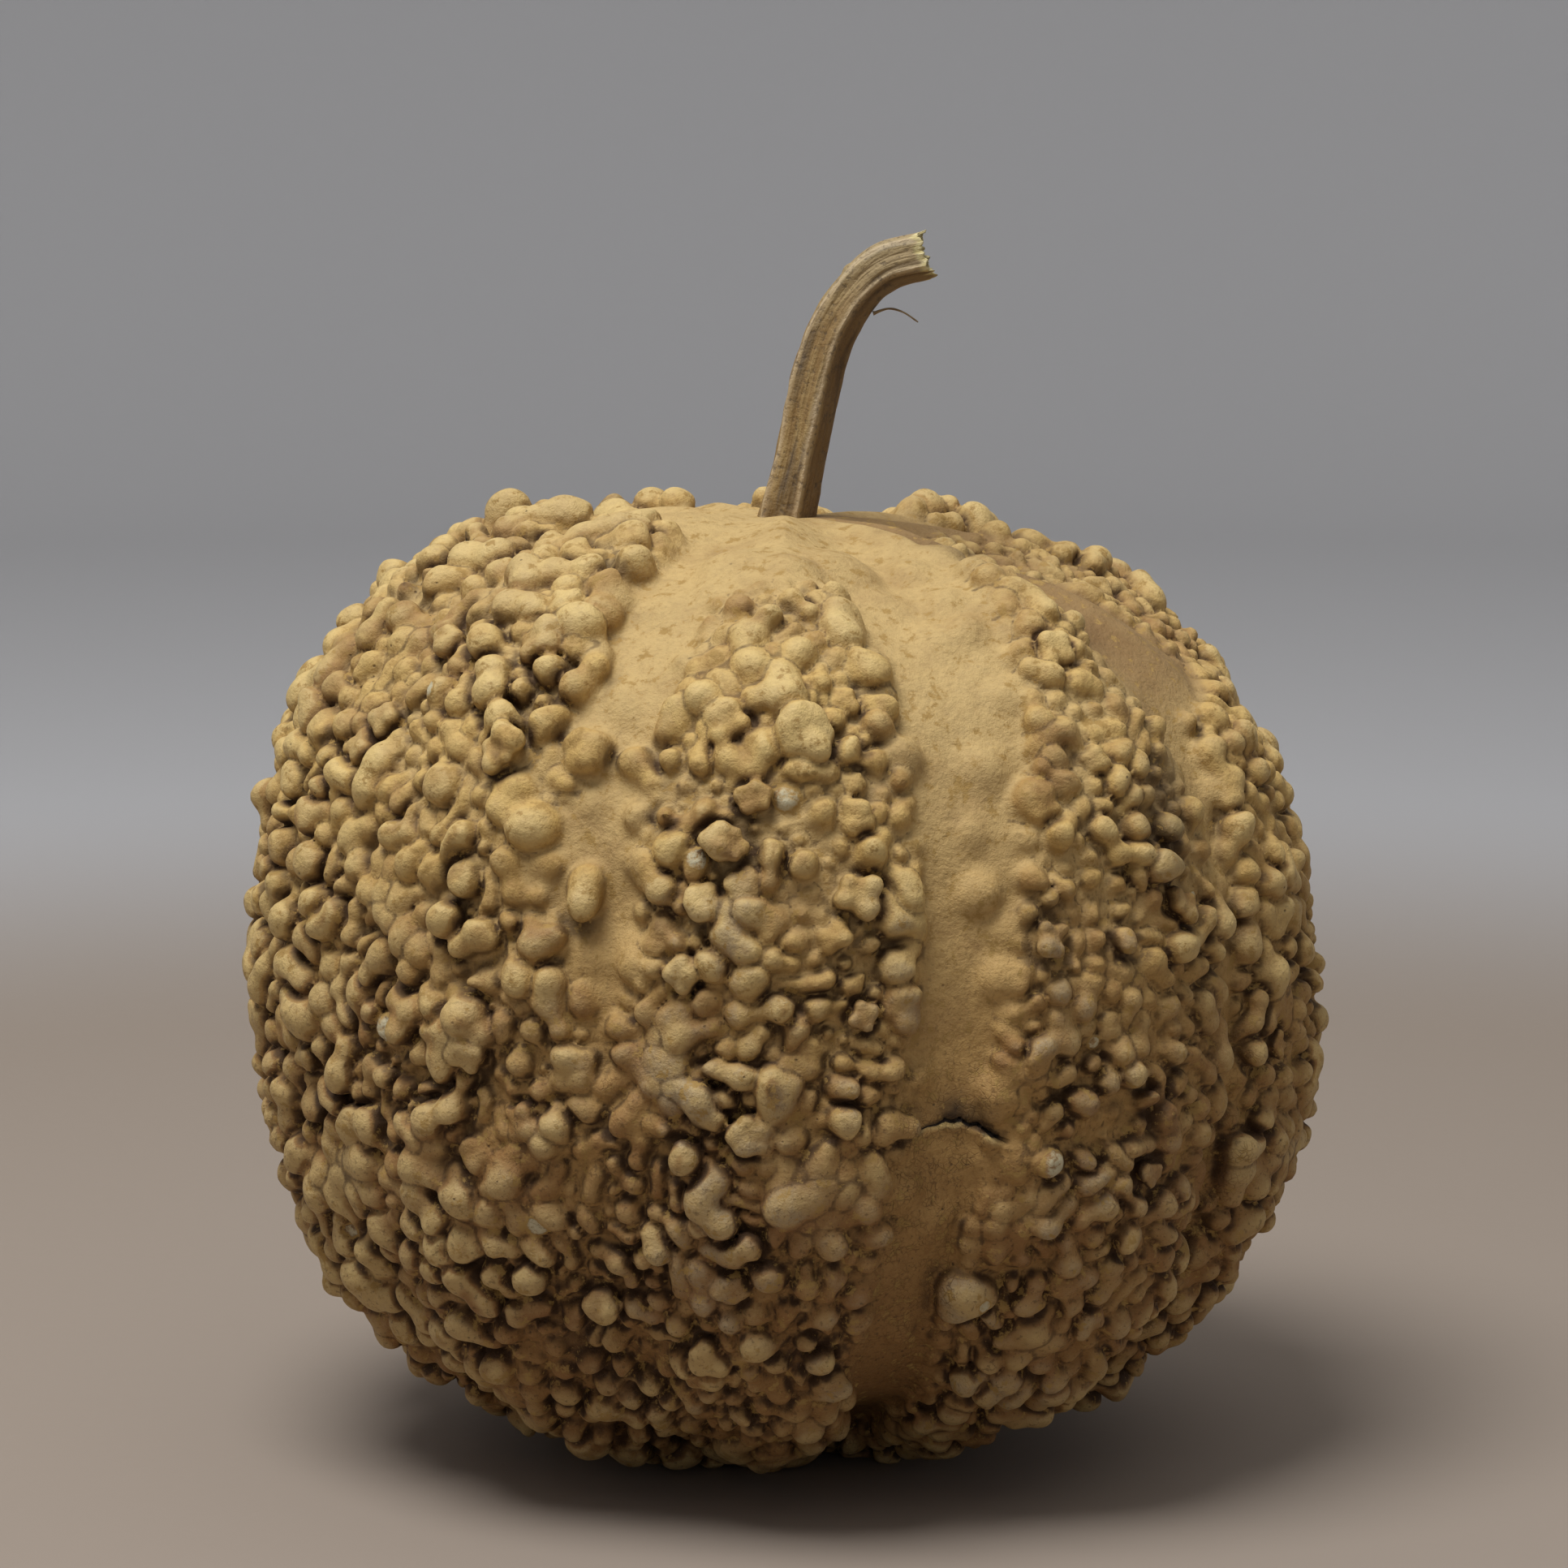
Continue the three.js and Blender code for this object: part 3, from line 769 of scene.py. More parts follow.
def chart_corners(points, quads):
    """Corners of a flat map of six square charts, one for each side of a box round the fruit."""
    towards = points / np.linalg.norm(points, axis=1)[:, None]
    middles = towards[quads].mean(axis=1)
    side = np.abs(middles).argmax(axis=1)
    sign = np.sign(middles[np.arange(len(quads)), side])
    corners = np.empty((len(quads), 4, 2))
    for axis in range(3):
        for face, facing in enumerate((-1, 1)):
            chosen = (side == axis) & (sign == facing)
            aim = towards[quads[chosen]]
            ahead = aim[..., axis] * facing
            u = np.arctan2(aim[..., (axis + 1) % 3] * facing, ahead) * 4 / math.pi
            v = np.arctan2(aim[..., (axis + 2) % 3], ahead) * 4 / math.pi
            corners[chosen, :, 0] = (axis + 0.5 + CHART_SHARE * u / 2) / 3
            corners[chosen, :, 1] = (face + 0.5 + CHART_SHARE * v / 2) / 2
    return corners


def outward(block, field, points):
    """Unit vectors out of the surface at its points."""
    step = block.step
    slopes = []
    for axis in np.eye(3):
        ahead = block.sample(field, points + axis * step)
        slopes.append(ahead - block.sample(field, points - axis * step))
    normal = np.stack(slopes, -1)
    return normal / (np.linalg.norm(normal, axis=1)[:, None] + 1e-9)


def fruit_marks(block, field, bare, warts, points):
    """What the rind's finish needs to know at each point, by name."""
    normal = outward(block, field, points)
    towards = points / np.linalg.norm(points, axis=1)[:, None]
    longitude, latitude = degrees_of(points)
    marks = {"height": block.sample(bare, points), **warts.marks(points)}
    # How open the surface is round each point, at three reaches: the rind's finish lays painted shade where
    # these are low
    for name, reach in (("open_near", 1.4), ("open_mid", 3.2), ("open_far", 6.5)):
        marks[name] = np.clip(block.sample(field, points + normal * reach) / reach, 0, 1)
    marks["bare"] = bareness(longitude, latitude)
    marks["level"] = np.sin(np.radians(latitude))
    above, past = beside_crack(points)
    facing = points[:, 1] < 0
    wide = 0.4 + 0.6 * smoothstep(*CRACK_WIDENS, longitude)
    marks["crack"] = np.where(facing, np.clip(above / wide, -FAR, FAR), FAR)
    marks["crack_end"] = np.where(facing, np.clip(past, -FAR, FAR), FAR)
    marks["stain"] = np.max([rate * near(towards, *place, spread) for *place, spread, rate in STAINS], axis=0)
    scab = np.zeros(len(points))
    for east, north, radius in SCABS:
        top = top_of(block, field, direction_of(east, north))
        away = np.linalg.norm(points - top, axis=1)
        scab = np.maximum(scab, smoothstep(radius * 1.7, radius * 0.5, away))
    marks["scab"] = scab
    frontal = smoothstep(45, 20, np.abs(turn(longitude, 10)))
    marks["bloom"] = frontal * smoothstep(26, 8, latitude) * smoothstep(-60, -35, latitude) + 0.12
    right = smoothstep(42, 58, longitude) * smoothstep(150, 120, longitude)
    marks["brown"] = right * smoothstep(28, 40, latitude)
    return marks


def build_mesh(name, points, faces, marks=None, corners=None):
    """A mesh of points in metres and faces of one size, with its marks and its flat map."""
    mesh = bpy.data.meshes.new(name)
    count, sides = faces.shape
    mesh.vertices.add(len(points))
    mesh.vertices.foreach_set("co", np.ascontiguousarray(points, np.float32).ravel())
    mesh.loops.add(count * sides)
    mesh.loops.foreach_set("vertex_index", np.ascontiguousarray(faces, np.int32).ravel())
    mesh.polygons.add(count)
    mesh.polygons.foreach_set("loop_start", np.arange(0, count * sides, sides, dtype=np.int32))
    mesh.update(calc_edges=True)
    mesh.shade_smooth()
    for mark, values in (marks or {}).items():
        kind = "FLOAT" if np.ndim(values) == 1 else "FLOAT_VECTOR"
        attribute = mesh.attributes.new(mark, kind, "POINT")
        field = "value" if kind == "FLOAT" else "vector"
        attribute.data.foreach_set(field, np.ascontiguousarray(values, np.float32).ravel())
    if corners is not None:
        chart = mesh.uv_layers.new(name="OFBake")
        chart.uv.foreach_set("vector", np.ascontiguousarray(corners, np.float32).ravel())
    return mesh


def add_piece(name, mesh, material, node):
    """Puts a finished piece in the scene in the place of its node in the frame."""
    piece = bpy.data.objects.new(name, mesh)
    bpy.context.scene.collection.objects.link(piece)
    mesh.materials.append(material)
    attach(piece, "root")
    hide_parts(node)


# ---------------------------------------------------------------- finishes


class Wire:
    """One output of a finish's nodes. Sums with it add nodes."""

    def __init__(self, finish, socket):
        self.finish, self.socket = finish, socket

    def math(self, operation, *values):
        return self.finish.node("ShaderNodeMath", {"operation": operation}, dict(enumerate(values)))

    def __add__(self, other):
        return self.math("ADD", self, other)

    def __sub__(self, other):
        return self.math("SUBTRACT", self, other)

    def __rsub__(self, other):
        return self.math("SUBTRACT", other, self)

    def __mul__(self, other):
        return self.math("MULTIPLY", self, other)

    __radd__ = __add__
    __rmul__ = __mul__

    def abs(self):
        return self.math("ABSOLUTE", self)

    def smaller(self, other):
        return self.math("MINIMUM", self, other)

    def rise(self, low, high):
        """0 below low and 1 above high, or the other way round where low is above high."""
        inputs = {"Value": self, "From Min": min(low, high), "From Max": max(low, high)}
        inputs |= {"To Min": float(low > high), "To Max": float(low < high)}
        return self.finish.node("ShaderNodeMapRange", {"interpolation_type": "SMOOTHSTEP"}, inputs)


class Finish:
    """A material and its nodes."""

    def __init__(self, name):
        self.material = bpy.data.materials.new(name)
        self.material.use_nodes = True
        self.tree = self.material.node_tree
        self.tree.nodes.clear()

    def node(self, kind, settings=None, inputs=None, output=0):
        """One output of a new node: its settings are set first, then the values or links of its sockets."""
        made = self.tree.nodes.new(kind)
        for key, value in (settings or {}).items():
            setattr(made, key, value)
        for key, value in (inputs or {}).items():
            socket = made.inputs[key]
            if isinstance(value, Wire):
                self.tree.links.new(value.socket, socket)
            elif isinstance(value, tuple) and socket.type == "RGBA":
                socket.default_value = (*value, 1)
            else:
                socket.default_value = value
        return Wire(self, made.outputs[output]) if made.outputs else None

    def mark(self, name, output="Fac"):
        """A mark kept on the mesh's points."""
        return self.node("ShaderNodeAttribute", {"attribute_name": name}, output=output)

    def noise(self, place, size, detail, roughness=0.55):
        """Noise from 0 to 1, in bumps about size metres across."""
        inputs = {"Vector": place, "Scale": 0.5 / size, "Detail": detail, "Roughness": roughness}
        return self.node("ShaderNodeTexNoise", {"noise_dimensions": "3D"}, inputs)

    def cells(self, place, size, feature="DISTANCE_TO_EDGE"):
        """Distance to the edges, or the middles, of cells about size metres across."""
        settings = {"feature": feature, "voronoi_dimensions": "3D"}
        return self.node("ShaderNodeTexVoronoi", settings, {"Vector": place, "Scale": 1 / size}, "Distance")

    def layered(self, colour, *layers):
        """A colour with others laid over it in order, each given as its share from 0 to 1 and its colour."""
        for share, over in layers:
            inputs = {0: share, 6: colour, 7: over}
            colour = self.node("ShaderNodeMix", {"data_type": "RGBA"}, inputs, 2)
        return colour

    def place(self):
        return self.node("ShaderNodeTexCoord", output="Object")

    def close(self, colour, roughness, relief, depth, specular):
        """Ends the finish: colour, roughness and relief vary over it, and the other two numbers don't."""
        normal = self.node("ShaderNodeBump", inputs={"Strength": 1.0, "Distance": depth, "Height": relief})
        inputs = {"Base Color": colour, "Roughness": roughness, "Normal": normal}
        inputs["Specular IOR Level"] = specular
        surface = self.node("ShaderNodeBsdfPrincipled", inputs=inputs)
        self.node("ShaderNodeOutputMaterial", inputs={"Surface": surface})
        return self.material


BROWN_SHOULDER = (0.235, 0.130, 0.048)
# Tops of the lowest warts: their own redder tone, made darker still as painted shade of the fruit's underside
LOW_WART_TONE_AND_SHADE = (0.315, 0.172, 0.055)
RUSSET = (0.265, 0.125, 0.038)
CREST = (0.74, 0.57, 0.25)
SPECK = (0.045, 0.026, 0.013)
SCAB_RIM = (0.40, 0.25, 0.075)
# Near black painted shade inside the crack
CRACK_SHADOW = (0.012, 0.006, 0.003)


def rind_finish(colours):
    """Dried rind: cream on the shoulders, tan on the sides, umber low down, with painted shade in the creases
    and hollows and fine dust all over.
    """
    finish = Finish("dried_rind")
    names = ("pale", "gold", "umber", "wart", "bloom", "dust_and_shade", "scab")
    pale, gold, umber, wart, bloom, dust_and_shade, scab = (tuple(getattr(colours, name)) for name in names)
    place = finish.place()
    broad = finish.noise(place, 0.030, 3)
    patchy = finish.noise(place, 0.0075, 4)
    fine = finish.noise(place, 0.0016, 4, 0.6)
    grit = finish.noise(place, 0.0005, 3, 0.65)
    coarse = {"Vector": place, "Scale": 260.0, "Detail": 2.0}
    warp = finish.node("ShaderNodeTexNoise", inputs=coarse, output="Color")
    shift = finish.node("ShaderNodeVectorMath", {"operation": "SCALE"}, {0: warp, "Scale": 0.0022})
    warped = finish.node("ShaderNodeVectorMath", {"operation": "ADD"}, {0: place, 1: shift})
    mottle = finish.noise(warped, 0.0011, 5, 0.72)
    level = finish.mark("level")
    around = level + (broad - 0.5) * 0.5
    # 1 low on the fruit and 0 high up: more mottle and grit there, and deeper painted shade
    low = level.rise(0.4, -0.35)
    height = finish.mark("height")
    near_open, mid_open, far_open = (finish.mark(f"open_{reach}") for reach in ("near", "mid", "far"))
    on_wart = height.rise(0.5, 2.2)
    tint = finish.mark("tint")

    skin = finish.layered(
        gold,
        (around.rise(-0.2, 0.6), pale),
        (around.rise(0.12, -0.7) * 0.85, umber),
        (finish.mark("brown") * (0.55 + 0.4 * broad), BROWN_SHOULDER),
        (patchy.rise(0.45, 0.72) * 0.34, umber),
        (mottle.rise(0.45, 0.62) * (0.14 + 0.3 * low), umber),
        (fine.rise(0.5, 0.62) * (0.06 + 0.22 * low), umber),
    )
    tops = finish.layered(
        LOW_WART_TONE_AND_SHADE,
        (around.rise(-0.4, 0.6), wart),
        (around.rise(0.35, 0.85) * 0.55, pale),
        (finish.noise(place, 0.005, 2).rise(0.5, 0.66) * 0.5, pale),
        (patchy.rise(0.5, 0.68) * 0.5, RUSSET),
        (mottle.rise(0.45, 0.62) * (0.3 + 0.3 * low), RUSSET),
        (fine.rise(0.52, 0.64) * (0.15 + 0.2 * low), RUSSET),
        (tint.rise(0.55, 1.0) * 0.4, RUSSET),
        (tint.rise(0.4, 0.0) * 0.3, pale),
    )
    crest = height.rise(2.6, 5.2) * mid_open.rise(0.7, 1.0)
    powder = finish.mark("bloom") * height.rise(1.8, 4.4) * patchy.rise(0.42, 0.62) * fine.rise(0.3, 0.6)
    # Painted shade at the closed-in feet of the warts, laid in russet
    foot = on_wart * near_open.rise(0.95, 0.5)
    # Painted shade in tight crevices: darker where the surface is closed in within 1.4 mm, broken up by noise
    crevice_shade = near_open.rise(0.68, 0.12) * (0.6 + 0.9 * fine)
    # Painted shade along the creases between warts, varied by noise
    crease = finish.mark("crease").rise(0.6, 1.0) * (0.4 + fine)
    webs = finish.cells(warped, 0.0011)
    cracked = webs.rise(0.05, 0.0) * on_wart * patchy.rise(0.4, 0.6) * level.rise(0.35, -0.1)
    crazed = webs.rise(0.1, 0.0) * finish.mark("bare") * level.rise(0.15, -0.2) * fine.rise(0.35, 0.6)
    specks = finish.cells(place, 0.0036, "F1").rise(0.1, 0.04) * broad.rise(0.48, 0.6)
    stained = finish.mark("stain") * (0.35 + 1.3 * fine) * patchy.rise(0.3, 0.6)
    scabbed = finish.mark("scab") + (mottle - 0.5) * 1.6 + (fine - 0.5) * 1.8
    inside = finish.mark("crack_end").rise(0.6, -2.0)
    across = finish.mark("crack") + (fine - 0.5) * 0.9
    torn_lip = inside * across.rise(-2.2, -0.8) * across.rise(0.0, -0.5) * patchy.rise(0.42, 0.6)
    # The crack's open line: painted shade in near black, and a groove in the relief
    split = across.abs().rise(0.40, 0.2) * inside
    colour = finish.layered(
        skin,
        (on_wart, tops),
        (crest * 0.45, CREST),
        (powder * 0.7, bloom),
        # Painted shade at the warts' feet
        (foot * 0.4, RUSSET),
        # Painted shade in the tight crevices
        (crevice_shade.smaller(1.0) * 0.9, dust_and_shade),
        # Painted shade in the wider hollows, at 3.2 and 6.5 mm, laid on deeper over the lower half
        (mid_open.rise(0.75, 0.15) * (0.4 + 0.5 * low), dust_and_shade),
        (far_open.rise(0.75, 0.15) * (0.25 + 0.4 * low), dust_and_shade),
        # Painted shade in the creases between warts
        (crease.smaller(1.0) * 0.8, dust_and_shade),
        (grit.rise(0.55, 0.68) * (0.12 + 0.35 * low), dust_and_shade),
        (cracked * 0.35, umber),
        (crazed * 0.4, umber),
        (specks * 0.7, SPECK),
        (stained.smaller(1.0), SPECK),
        (scabbed.rise(0.12, 0.35) * scabbed.rise(0.7, 0.5), SCAB_RIM),
        (scabbed.rise(0.5, 0.8) * mottle.rise(0.64, 0.46), scab),
        (inside * across.rise(2.4, 0.4) * across.rise(-0.8, 0.2) * 0.7, SPECK),
        (torn_lip * 0.35, CREST),
        (split, CRACK_SHADOW),
        ((fine - 0.5).abs() * 0.4, dust_and_shade),
    )
    roughness = 0.62 + 0.22 * fine - 0.12 * crest + 0.12 * crevice_shade
    relief = fine * 0.6 + grit * 0.4 + patchy * 0.9 - crazed * 0.3 - specks * 0.3 - mottle * 0.9 - split * 3.0
    return finish.close(colour, roughness, relief, 0.0005, 0.38)


STEM_BROWN, STEM_GOLD = (0.250, 0.155, 0.058), (0.390, 0.275, 0.120)
WEATHERED = (0.150, 0.125, 0.105)
TIP_STRAW = (0.42, 0.34, 0.20)
RIDGE_CREAM = (0.55, 0.43, 0.27)
# Painted shade for the stem's inner side
SHADED_SIDE_BROWN = (0.15, 0.085, 0.034)
THREAD_DARK = (0.095, 0.055, 0.028)
GROOVE_DARK = (0.085, 0.05, 0.024)
PIT_DARK = (0.07, 0.05, 0.035)
TORN_STRAW, TORN_CREAM = (0.42, 0.34, 0.13), (0.72, 0.63, 0.36)
PITH_DARK = (0.075, 0.045, 0.02)
FIBRE_BROWN, FIBRE_PALE, FIBRE_DARK = (0.17, 0.105, 0.045), (0.34, 0.24, 0.12), (0.10, 0.06, 0.03)


def stem_finish():
    """Dry stem: gold brown with grey streaks, pale along the ridges, cream where it is torn, with painted
    shade on its inner side.
    """
    finish = Finish("dry_stem")
    place = finish.place()
    grain = finish.mark("grain", "Vector")
    streaks = finish.noise(grain, 0.0011, 4, 0.6)
    threads = finish.noise(grain, 0.00035, 3, 0.6)
    blotch = finish.noise(place, 0.006, 3)
    pits = finish.noise(place, 0.0007, 3, 0.65)
    frayed = finish.layered(
        TORN_STRAW,
        (threads.rise(0.3, 0.7), TORN_CREAM),
        (finish.mark("pith") * 0.9, PITH_DARK),
    )
    colour = finish.layered(
        STEM_BROWN,
        (streaks.rise(0.35, 0.65), STEM_GOLD),
        (streaks.rise(0.52, 0.68) * blotch.rise(0.4, 0.6) * 0.8, WEATHERED),
        (finish.mark("tip") * 0.5, TIP_STRAW),
        (finish.mark("ridge") * (0.35 + 0.7 * streaks), RIDGE_CREAM),
        # Painted shade on the stem's inner side
        (finish.mark("inner") * (0.45 + 0.5 * streaks), SHADED_SIDE_BROWN),
        (threads.rise(0.55, 0.75) * 0.5, THREAD_DARK),
        (finish.mark("groove") * 0.55, GROOVE_DARK),
        (pits.rise(0.52, 0.68) * 0.6, PIT_DARK),
        (finish.mark("torn"), frayed),
    )
    relief = streaks * 0.8 + threads * 0.4 - pits * 0.7
    return finish.close(colour, 0.66 + 0.2 * threads, relief, 0.0006, 0.35)


def fibre_finish():
    """A thin dry fibre, brown with paler streaks."""
    finish = Finish("dry_fibre")
    streaks = finish.noise(finish.mark("grain", "Vector"), 0.0003, 3)
    blotch = finish.noise(finish.place(), 0.0012, 2)
    colour = finish.layered(
        FIBRE_BROWN,
        (streaks.rise(0.35, 0.65), FIBRE_PALE),
        (blotch.rise(0.5, 0.7) * 0.5, FIBRE_DARK),
    )
    return finish.close(colour, 0.6 + 0.2 * blotch, streaks, 0.00008, 0.4)


# ---------------------------------------------------------------- the stem and its fibre

# The middle of the stem from foot to tip, as shares of the stem's box, and so for the fibre.
STEM_LINE = (
    (0.147, 0.53, 0.02), (0.23, 0.53, 0.226), (0.336, 0.496, 0.506), (0.425, 0.462, 0.678),
    (0.571, 0.43, 0.816), (0.749, 0.395, 0.9), (0.963, 0.36, 0.934),
)
FIBRE_LINE = ((-0.05, 0.72, 0.62), (0.32, 0.67, 0.9), (0.66, 0.45, 0.66), (0.98, 0.2, 0.1))
RIDGE_TURN = 21  # degrees from the front to the first of the stem's five ridges
STEM_FOOT, STEM_TIP = 5.7, 4.75  # the stem's radius at either end
FOOT_FLARE = 0.455
CAP_RINGS = 26  # of points in the torn end


def line_through(knots, count):
    """Points, evenly spaced along a smooth line through the knots, and how far along it each is."""
    knots = np.array(knots, float)
    ends = np.vstack([2 * knots[0] - knots[1], knots, 2 * knots[-1] - knots[-2]])
    pieces = []
    for a, b, c, d in zip(ends, ends[1:], ends[2:], ends[3:]):
        t = np.linspace(0, 1, 60, endpoint=False)[:, None]
        start = 2 * b + (c - a) * t
        pieces.append(0.5 * (start + (2 * a - 5 * b + 4 * c - d) * t**2 + (3 * b - a - 3 * c + d) * t**3))
    line = np.vstack([*pieces, knots[-1:]])
    run = np.concatenate([[0], np.linalg.norm(np.diff(line, axis=0), axis=1).cumsum()])
    along = np.linspace(0, run[-1], count)
    return np.stack([np.interp(along, run, line[:, i]) for i in range(3)], -1), along


def frames_along(line):
    """The heading at each point, and two directions across it that don't twist. The first faces the front."""
    heading = np.gradient(line, axis=0)
    heading /= np.linalg.norm(heading, axis=1)[:, None]
    front = np.empty_like(line)
    last = np.array([0.0, -1.0, 0.0])
    for i, ahead in enumerate(heading):
        last = last - ahead * (last @ ahead)
        last /= np.linalg.norm(last)
        front[i] = last
    return heading, front, np.cross(heading, front)


def tube_faces(rings, around):
    """The faces of rings of points joined in order."""
    i, j = np.meshgrid(np.arange(rings - 1), np.arange(around), indexing="ij")
    k = (j + 1) % around
    faces = np.stack([i * around + j, i * around + k, (i + 1) * around + k, (i + 1) * around + j], -1)
    return faces.reshape(-1, 4)


def noise_ring(rng, around, rings, across, along):
    """Noise over a tube's points: across bumps round it and along bumps down it."""
    coarse = rng.standard_normal((along + 3, across))
    whole, parts = spline_parts(np.arange(around) * across / around)
    values = sum(part * coarse[:, (whole - 1 + shift) % across] for shift, part in enumerate(parts))
    values = spline_weights(rings, along + 3) @ values
    return values / values.std()


def rim_noise(rng, around, across):
    """Noise round one ring of points, in across bumps."""
    return noise_ring(rng, around, 8, across, 3)[4]


class Tube:
    """Rings of points along a smooth line through knots, given as shares of the box from low to high."""

    def __init__(self, low, high, knots, rings, around, wide=1.0, thick=1.0):
        low, high = np.array(low) / MM, np.array(high) / MM
        self.line, self.along = line_through(low + (high - low) * np.array(knots, float), rings)
        self.heading, front, side = frames_along(self.line)
        self.share = self.along / self.along[-1]
        self.angle = np.arange(around) * 2 * math.pi / around
        self.cos, self.sin = np.cos(self.angle), np.sin(self.angle)
        self.out = wide * self.cos[None, :, None] * front[:, None]
        self.out = self.out + thick * self.sin[None, :, None] * side[:, None]
        self.size = around, rings

    def points(self, width):
        """The points, this far out from the line."""
        return self.line[:, None] + self.out * width[..., None]

    def grain(self, radius, run):
        """Each point's place for a texture whose streaks run along the tube."""
        turned = self.cos[None] * radius, self.sin[None] * radius, self.along[:, None] * run
        return np.stack(np.broadcast_arrays(*turned), -1)


def stem_mesh():
    """The stem: a five-angled tube with ribs and streaks, ending in a torn, fibrous face."""
    rng = np.random.default_rng(SEED + 1)
    tube = Tube(STEM_LOW, STEM_HIGH, STEM_LINE, 300, 220)
    around, rings = tube.size
    share, degrees = tube.share, np.degrees(tube.angle)
    fifth = (degrees[None] - RIDGE_TURN + 5 * np.sin(share * 3)[:, None]) / 72
    from_ridge = np.abs((fifth + 0.5) % 1 - 0.5) * 2
    flute = smoothstep(0, 0.9, from_ridge)
    width = STEM_FOOT + (STEM_TIP - STEM_FOOT) * share**0.8 + FOOT_FLARE * np.exp(-share / 0.05)
    width = width[:, None] * (1 - 0.15 * flute + 0.035 * np.exp(-((from_ridge / 0.13) ** 2)))
    ribs = noise_ring(rng, *tube.size, 34, 7)
    width = width + 0.13 * ribs * smoothstep(0.05, 0.3, from_ridge)
    width = width + 0.05 * noise_ring(rng, *tube.size, 90, 40) + 0.16 * noise_ring(rng, *tube.size, 9, 14)
    peel = np.exp(-(((share - 0.80) / 0.02)[:, None] ** 2) - (turn(degrees, -92) / 9)[None] ** 2)
    points = tube.points(width + 0.75 * peel)
    ragged = rim_noise(rng, around, 60) + 0.8 * rim_noise(rng, around, 21)
    spikes = np.clip(ragged - 0.6, 0, 3)
    stretch = smoothstep(0.93, 1.0, share)[:, None] * (0.3 * ragged + 0.4 * spikes)[None]
    points += stretch[..., None] * tube.heading[:, None]
    ridge = np.exp(-((from_ridge / 0.2) ** 2))
    marks = {
        "ridge": ridge,
        "groove": np.clip(-ribs - 0.6, 0, 1) * smoothstep(0.1, 0.3, from_ridge),
        "tip": np.broadcast_to(smoothstep(0.62, 0.9, share)[:, None], ridge.shape),
        "torn": smoothstep(0.975, 0.995, share[:, None] - 0.004 * ragged[None]),
        "pith": np.zeros_like(ridge),
        # The stem's inner side, which the finish darkens as painted shade
        "inner": np.broadcast_to(smoothstep(24, 38, turn(degrees, 0)), ridge.shape),
    }
    grain = tube.grain(5.5, 0.07)
    rim, ahead = points[-1], tube.heading[-1]
    middle = rim.mean(axis=0)
    caps, cap_marks, cap_grain = [], [], []
    for k in range(1, CAP_RINGS + 1):
        inner = 1 - k / CAP_RINGS
        rough = rim_noise(rng, around, 26) * 0.28 + rim_noise(rng, around, 75) * 0.14
        hollow = -1.3 * (1 - inner**2) + rough * inner**0.5
        spot = middle + (rim - middle) * max(inner, 0.012)
        level = (spot - middle) @ ahead
        caps.append(spot - np.outer(level * (1 - inner), ahead) + np.outer(hollow, ahead))
        pith = smoothstep(0.5, 0.12, inner) + 0.35 * (rough < -0.15)
        cap_marks.append(np.clip(pith, 0, 1))
        cap_grain.append(grain[-1] * inner + np.array([0, 0, 0.2 * k]))
    points = np.concatenate([points, np.array(caps)]).reshape(-1, 3)
    for name, values in marks.items():
        fill = cap_marks if name == "pith" else np.full((CAP_RINGS, around), float(name == "torn"))
        marks[name] = np.concatenate([values, np.array(fill)]).ravel()
    marks["grain"] = np.concatenate([grain, np.array(cap_grain)]).reshape(-1, 3) * MM
    return build_mesh("stem", points * MM, closed_faces(rings + CAP_RINGS, around), marks)


def closed_faces(rings, around):
    """The faces of a tube whose two ends are closed with strips of four-cornered faces."""
    closing = []
    for start, flip in ((0, True), ((rings - 1) * around, False)):
        for i in range(around // 2 - 1):
            a, b, c, d = start + i, start + i + 1, start + around - 2 - i, start + around - 1 - i
            closing.append((a, d, c, b) if flip else (a, b, c, d))
    return np.vstack([tube_faces(rings, around), np.array(closing)])


def fibre_mesh():
    """The fibre that peels from the stem's inner bend: a thin, uneven thread that tapers."""
    rng = np.random.default_rng(SEED + 2)
    tube = Tube(FIBRE_LOW, FIBRE_HIGH, FIBRE_LINE, 60, 16, wide=1.25, thick=0.75)
    around, rings = tube.size
    share = tube.share
    width = 0.33 - 0.12 * share + 0.35 * np.exp(-share / 0.05) - 0.06 * np.exp(-(1 - share) / 0.03)
    width = width[:, None] * (1 + 0.08 * noise_ring(rng, *tube.size, 6, 16))
    marks = {"grain": tube.grain(0.5, 0.1).reshape(-1, 3) * MM}
    points = tube.points(width).reshape(-1, 3) * MM
    return build_mesh("stem_fibre_peel", points, closed_faces(rings, around), marks)


# ---------------------------------------------------------------- operators


class GOURD_OT_fruit(bpy.types.Operator):
    """Make the fruit: its skin, furrows, warts, blisters, scabs and crack"""

    bl_idname = "gourd.fruit"
    bl_label = "Fruit"

    def execute(self, context):
        settings = context.scene.gourd_fruit
        block, field, bare, warts = fruit_shape(settings)
        points, quads = polygons_of(block, field)
        points, quads = used_only(points, quads)
        marks = fruit_marks(block, field, bare, warts, points)
        corners = chart_corners(points, quads)
        centre = (FRUIT_LOW + FRUIT_HIGH) / 2
        points = points * MM + np.array([centre.x, centre.y, settings.middle])
        points[:, 2] = np.maximum(points[:, 2], FRUIT_LOW.z)
        mesh = build_mesh("warty_fruit", points, quads, marks, corners)
        add_piece("warty_fruit", mesh, rind_finish(context.scene.gourd_colours), "fruit")
        return {"FINISHED"}


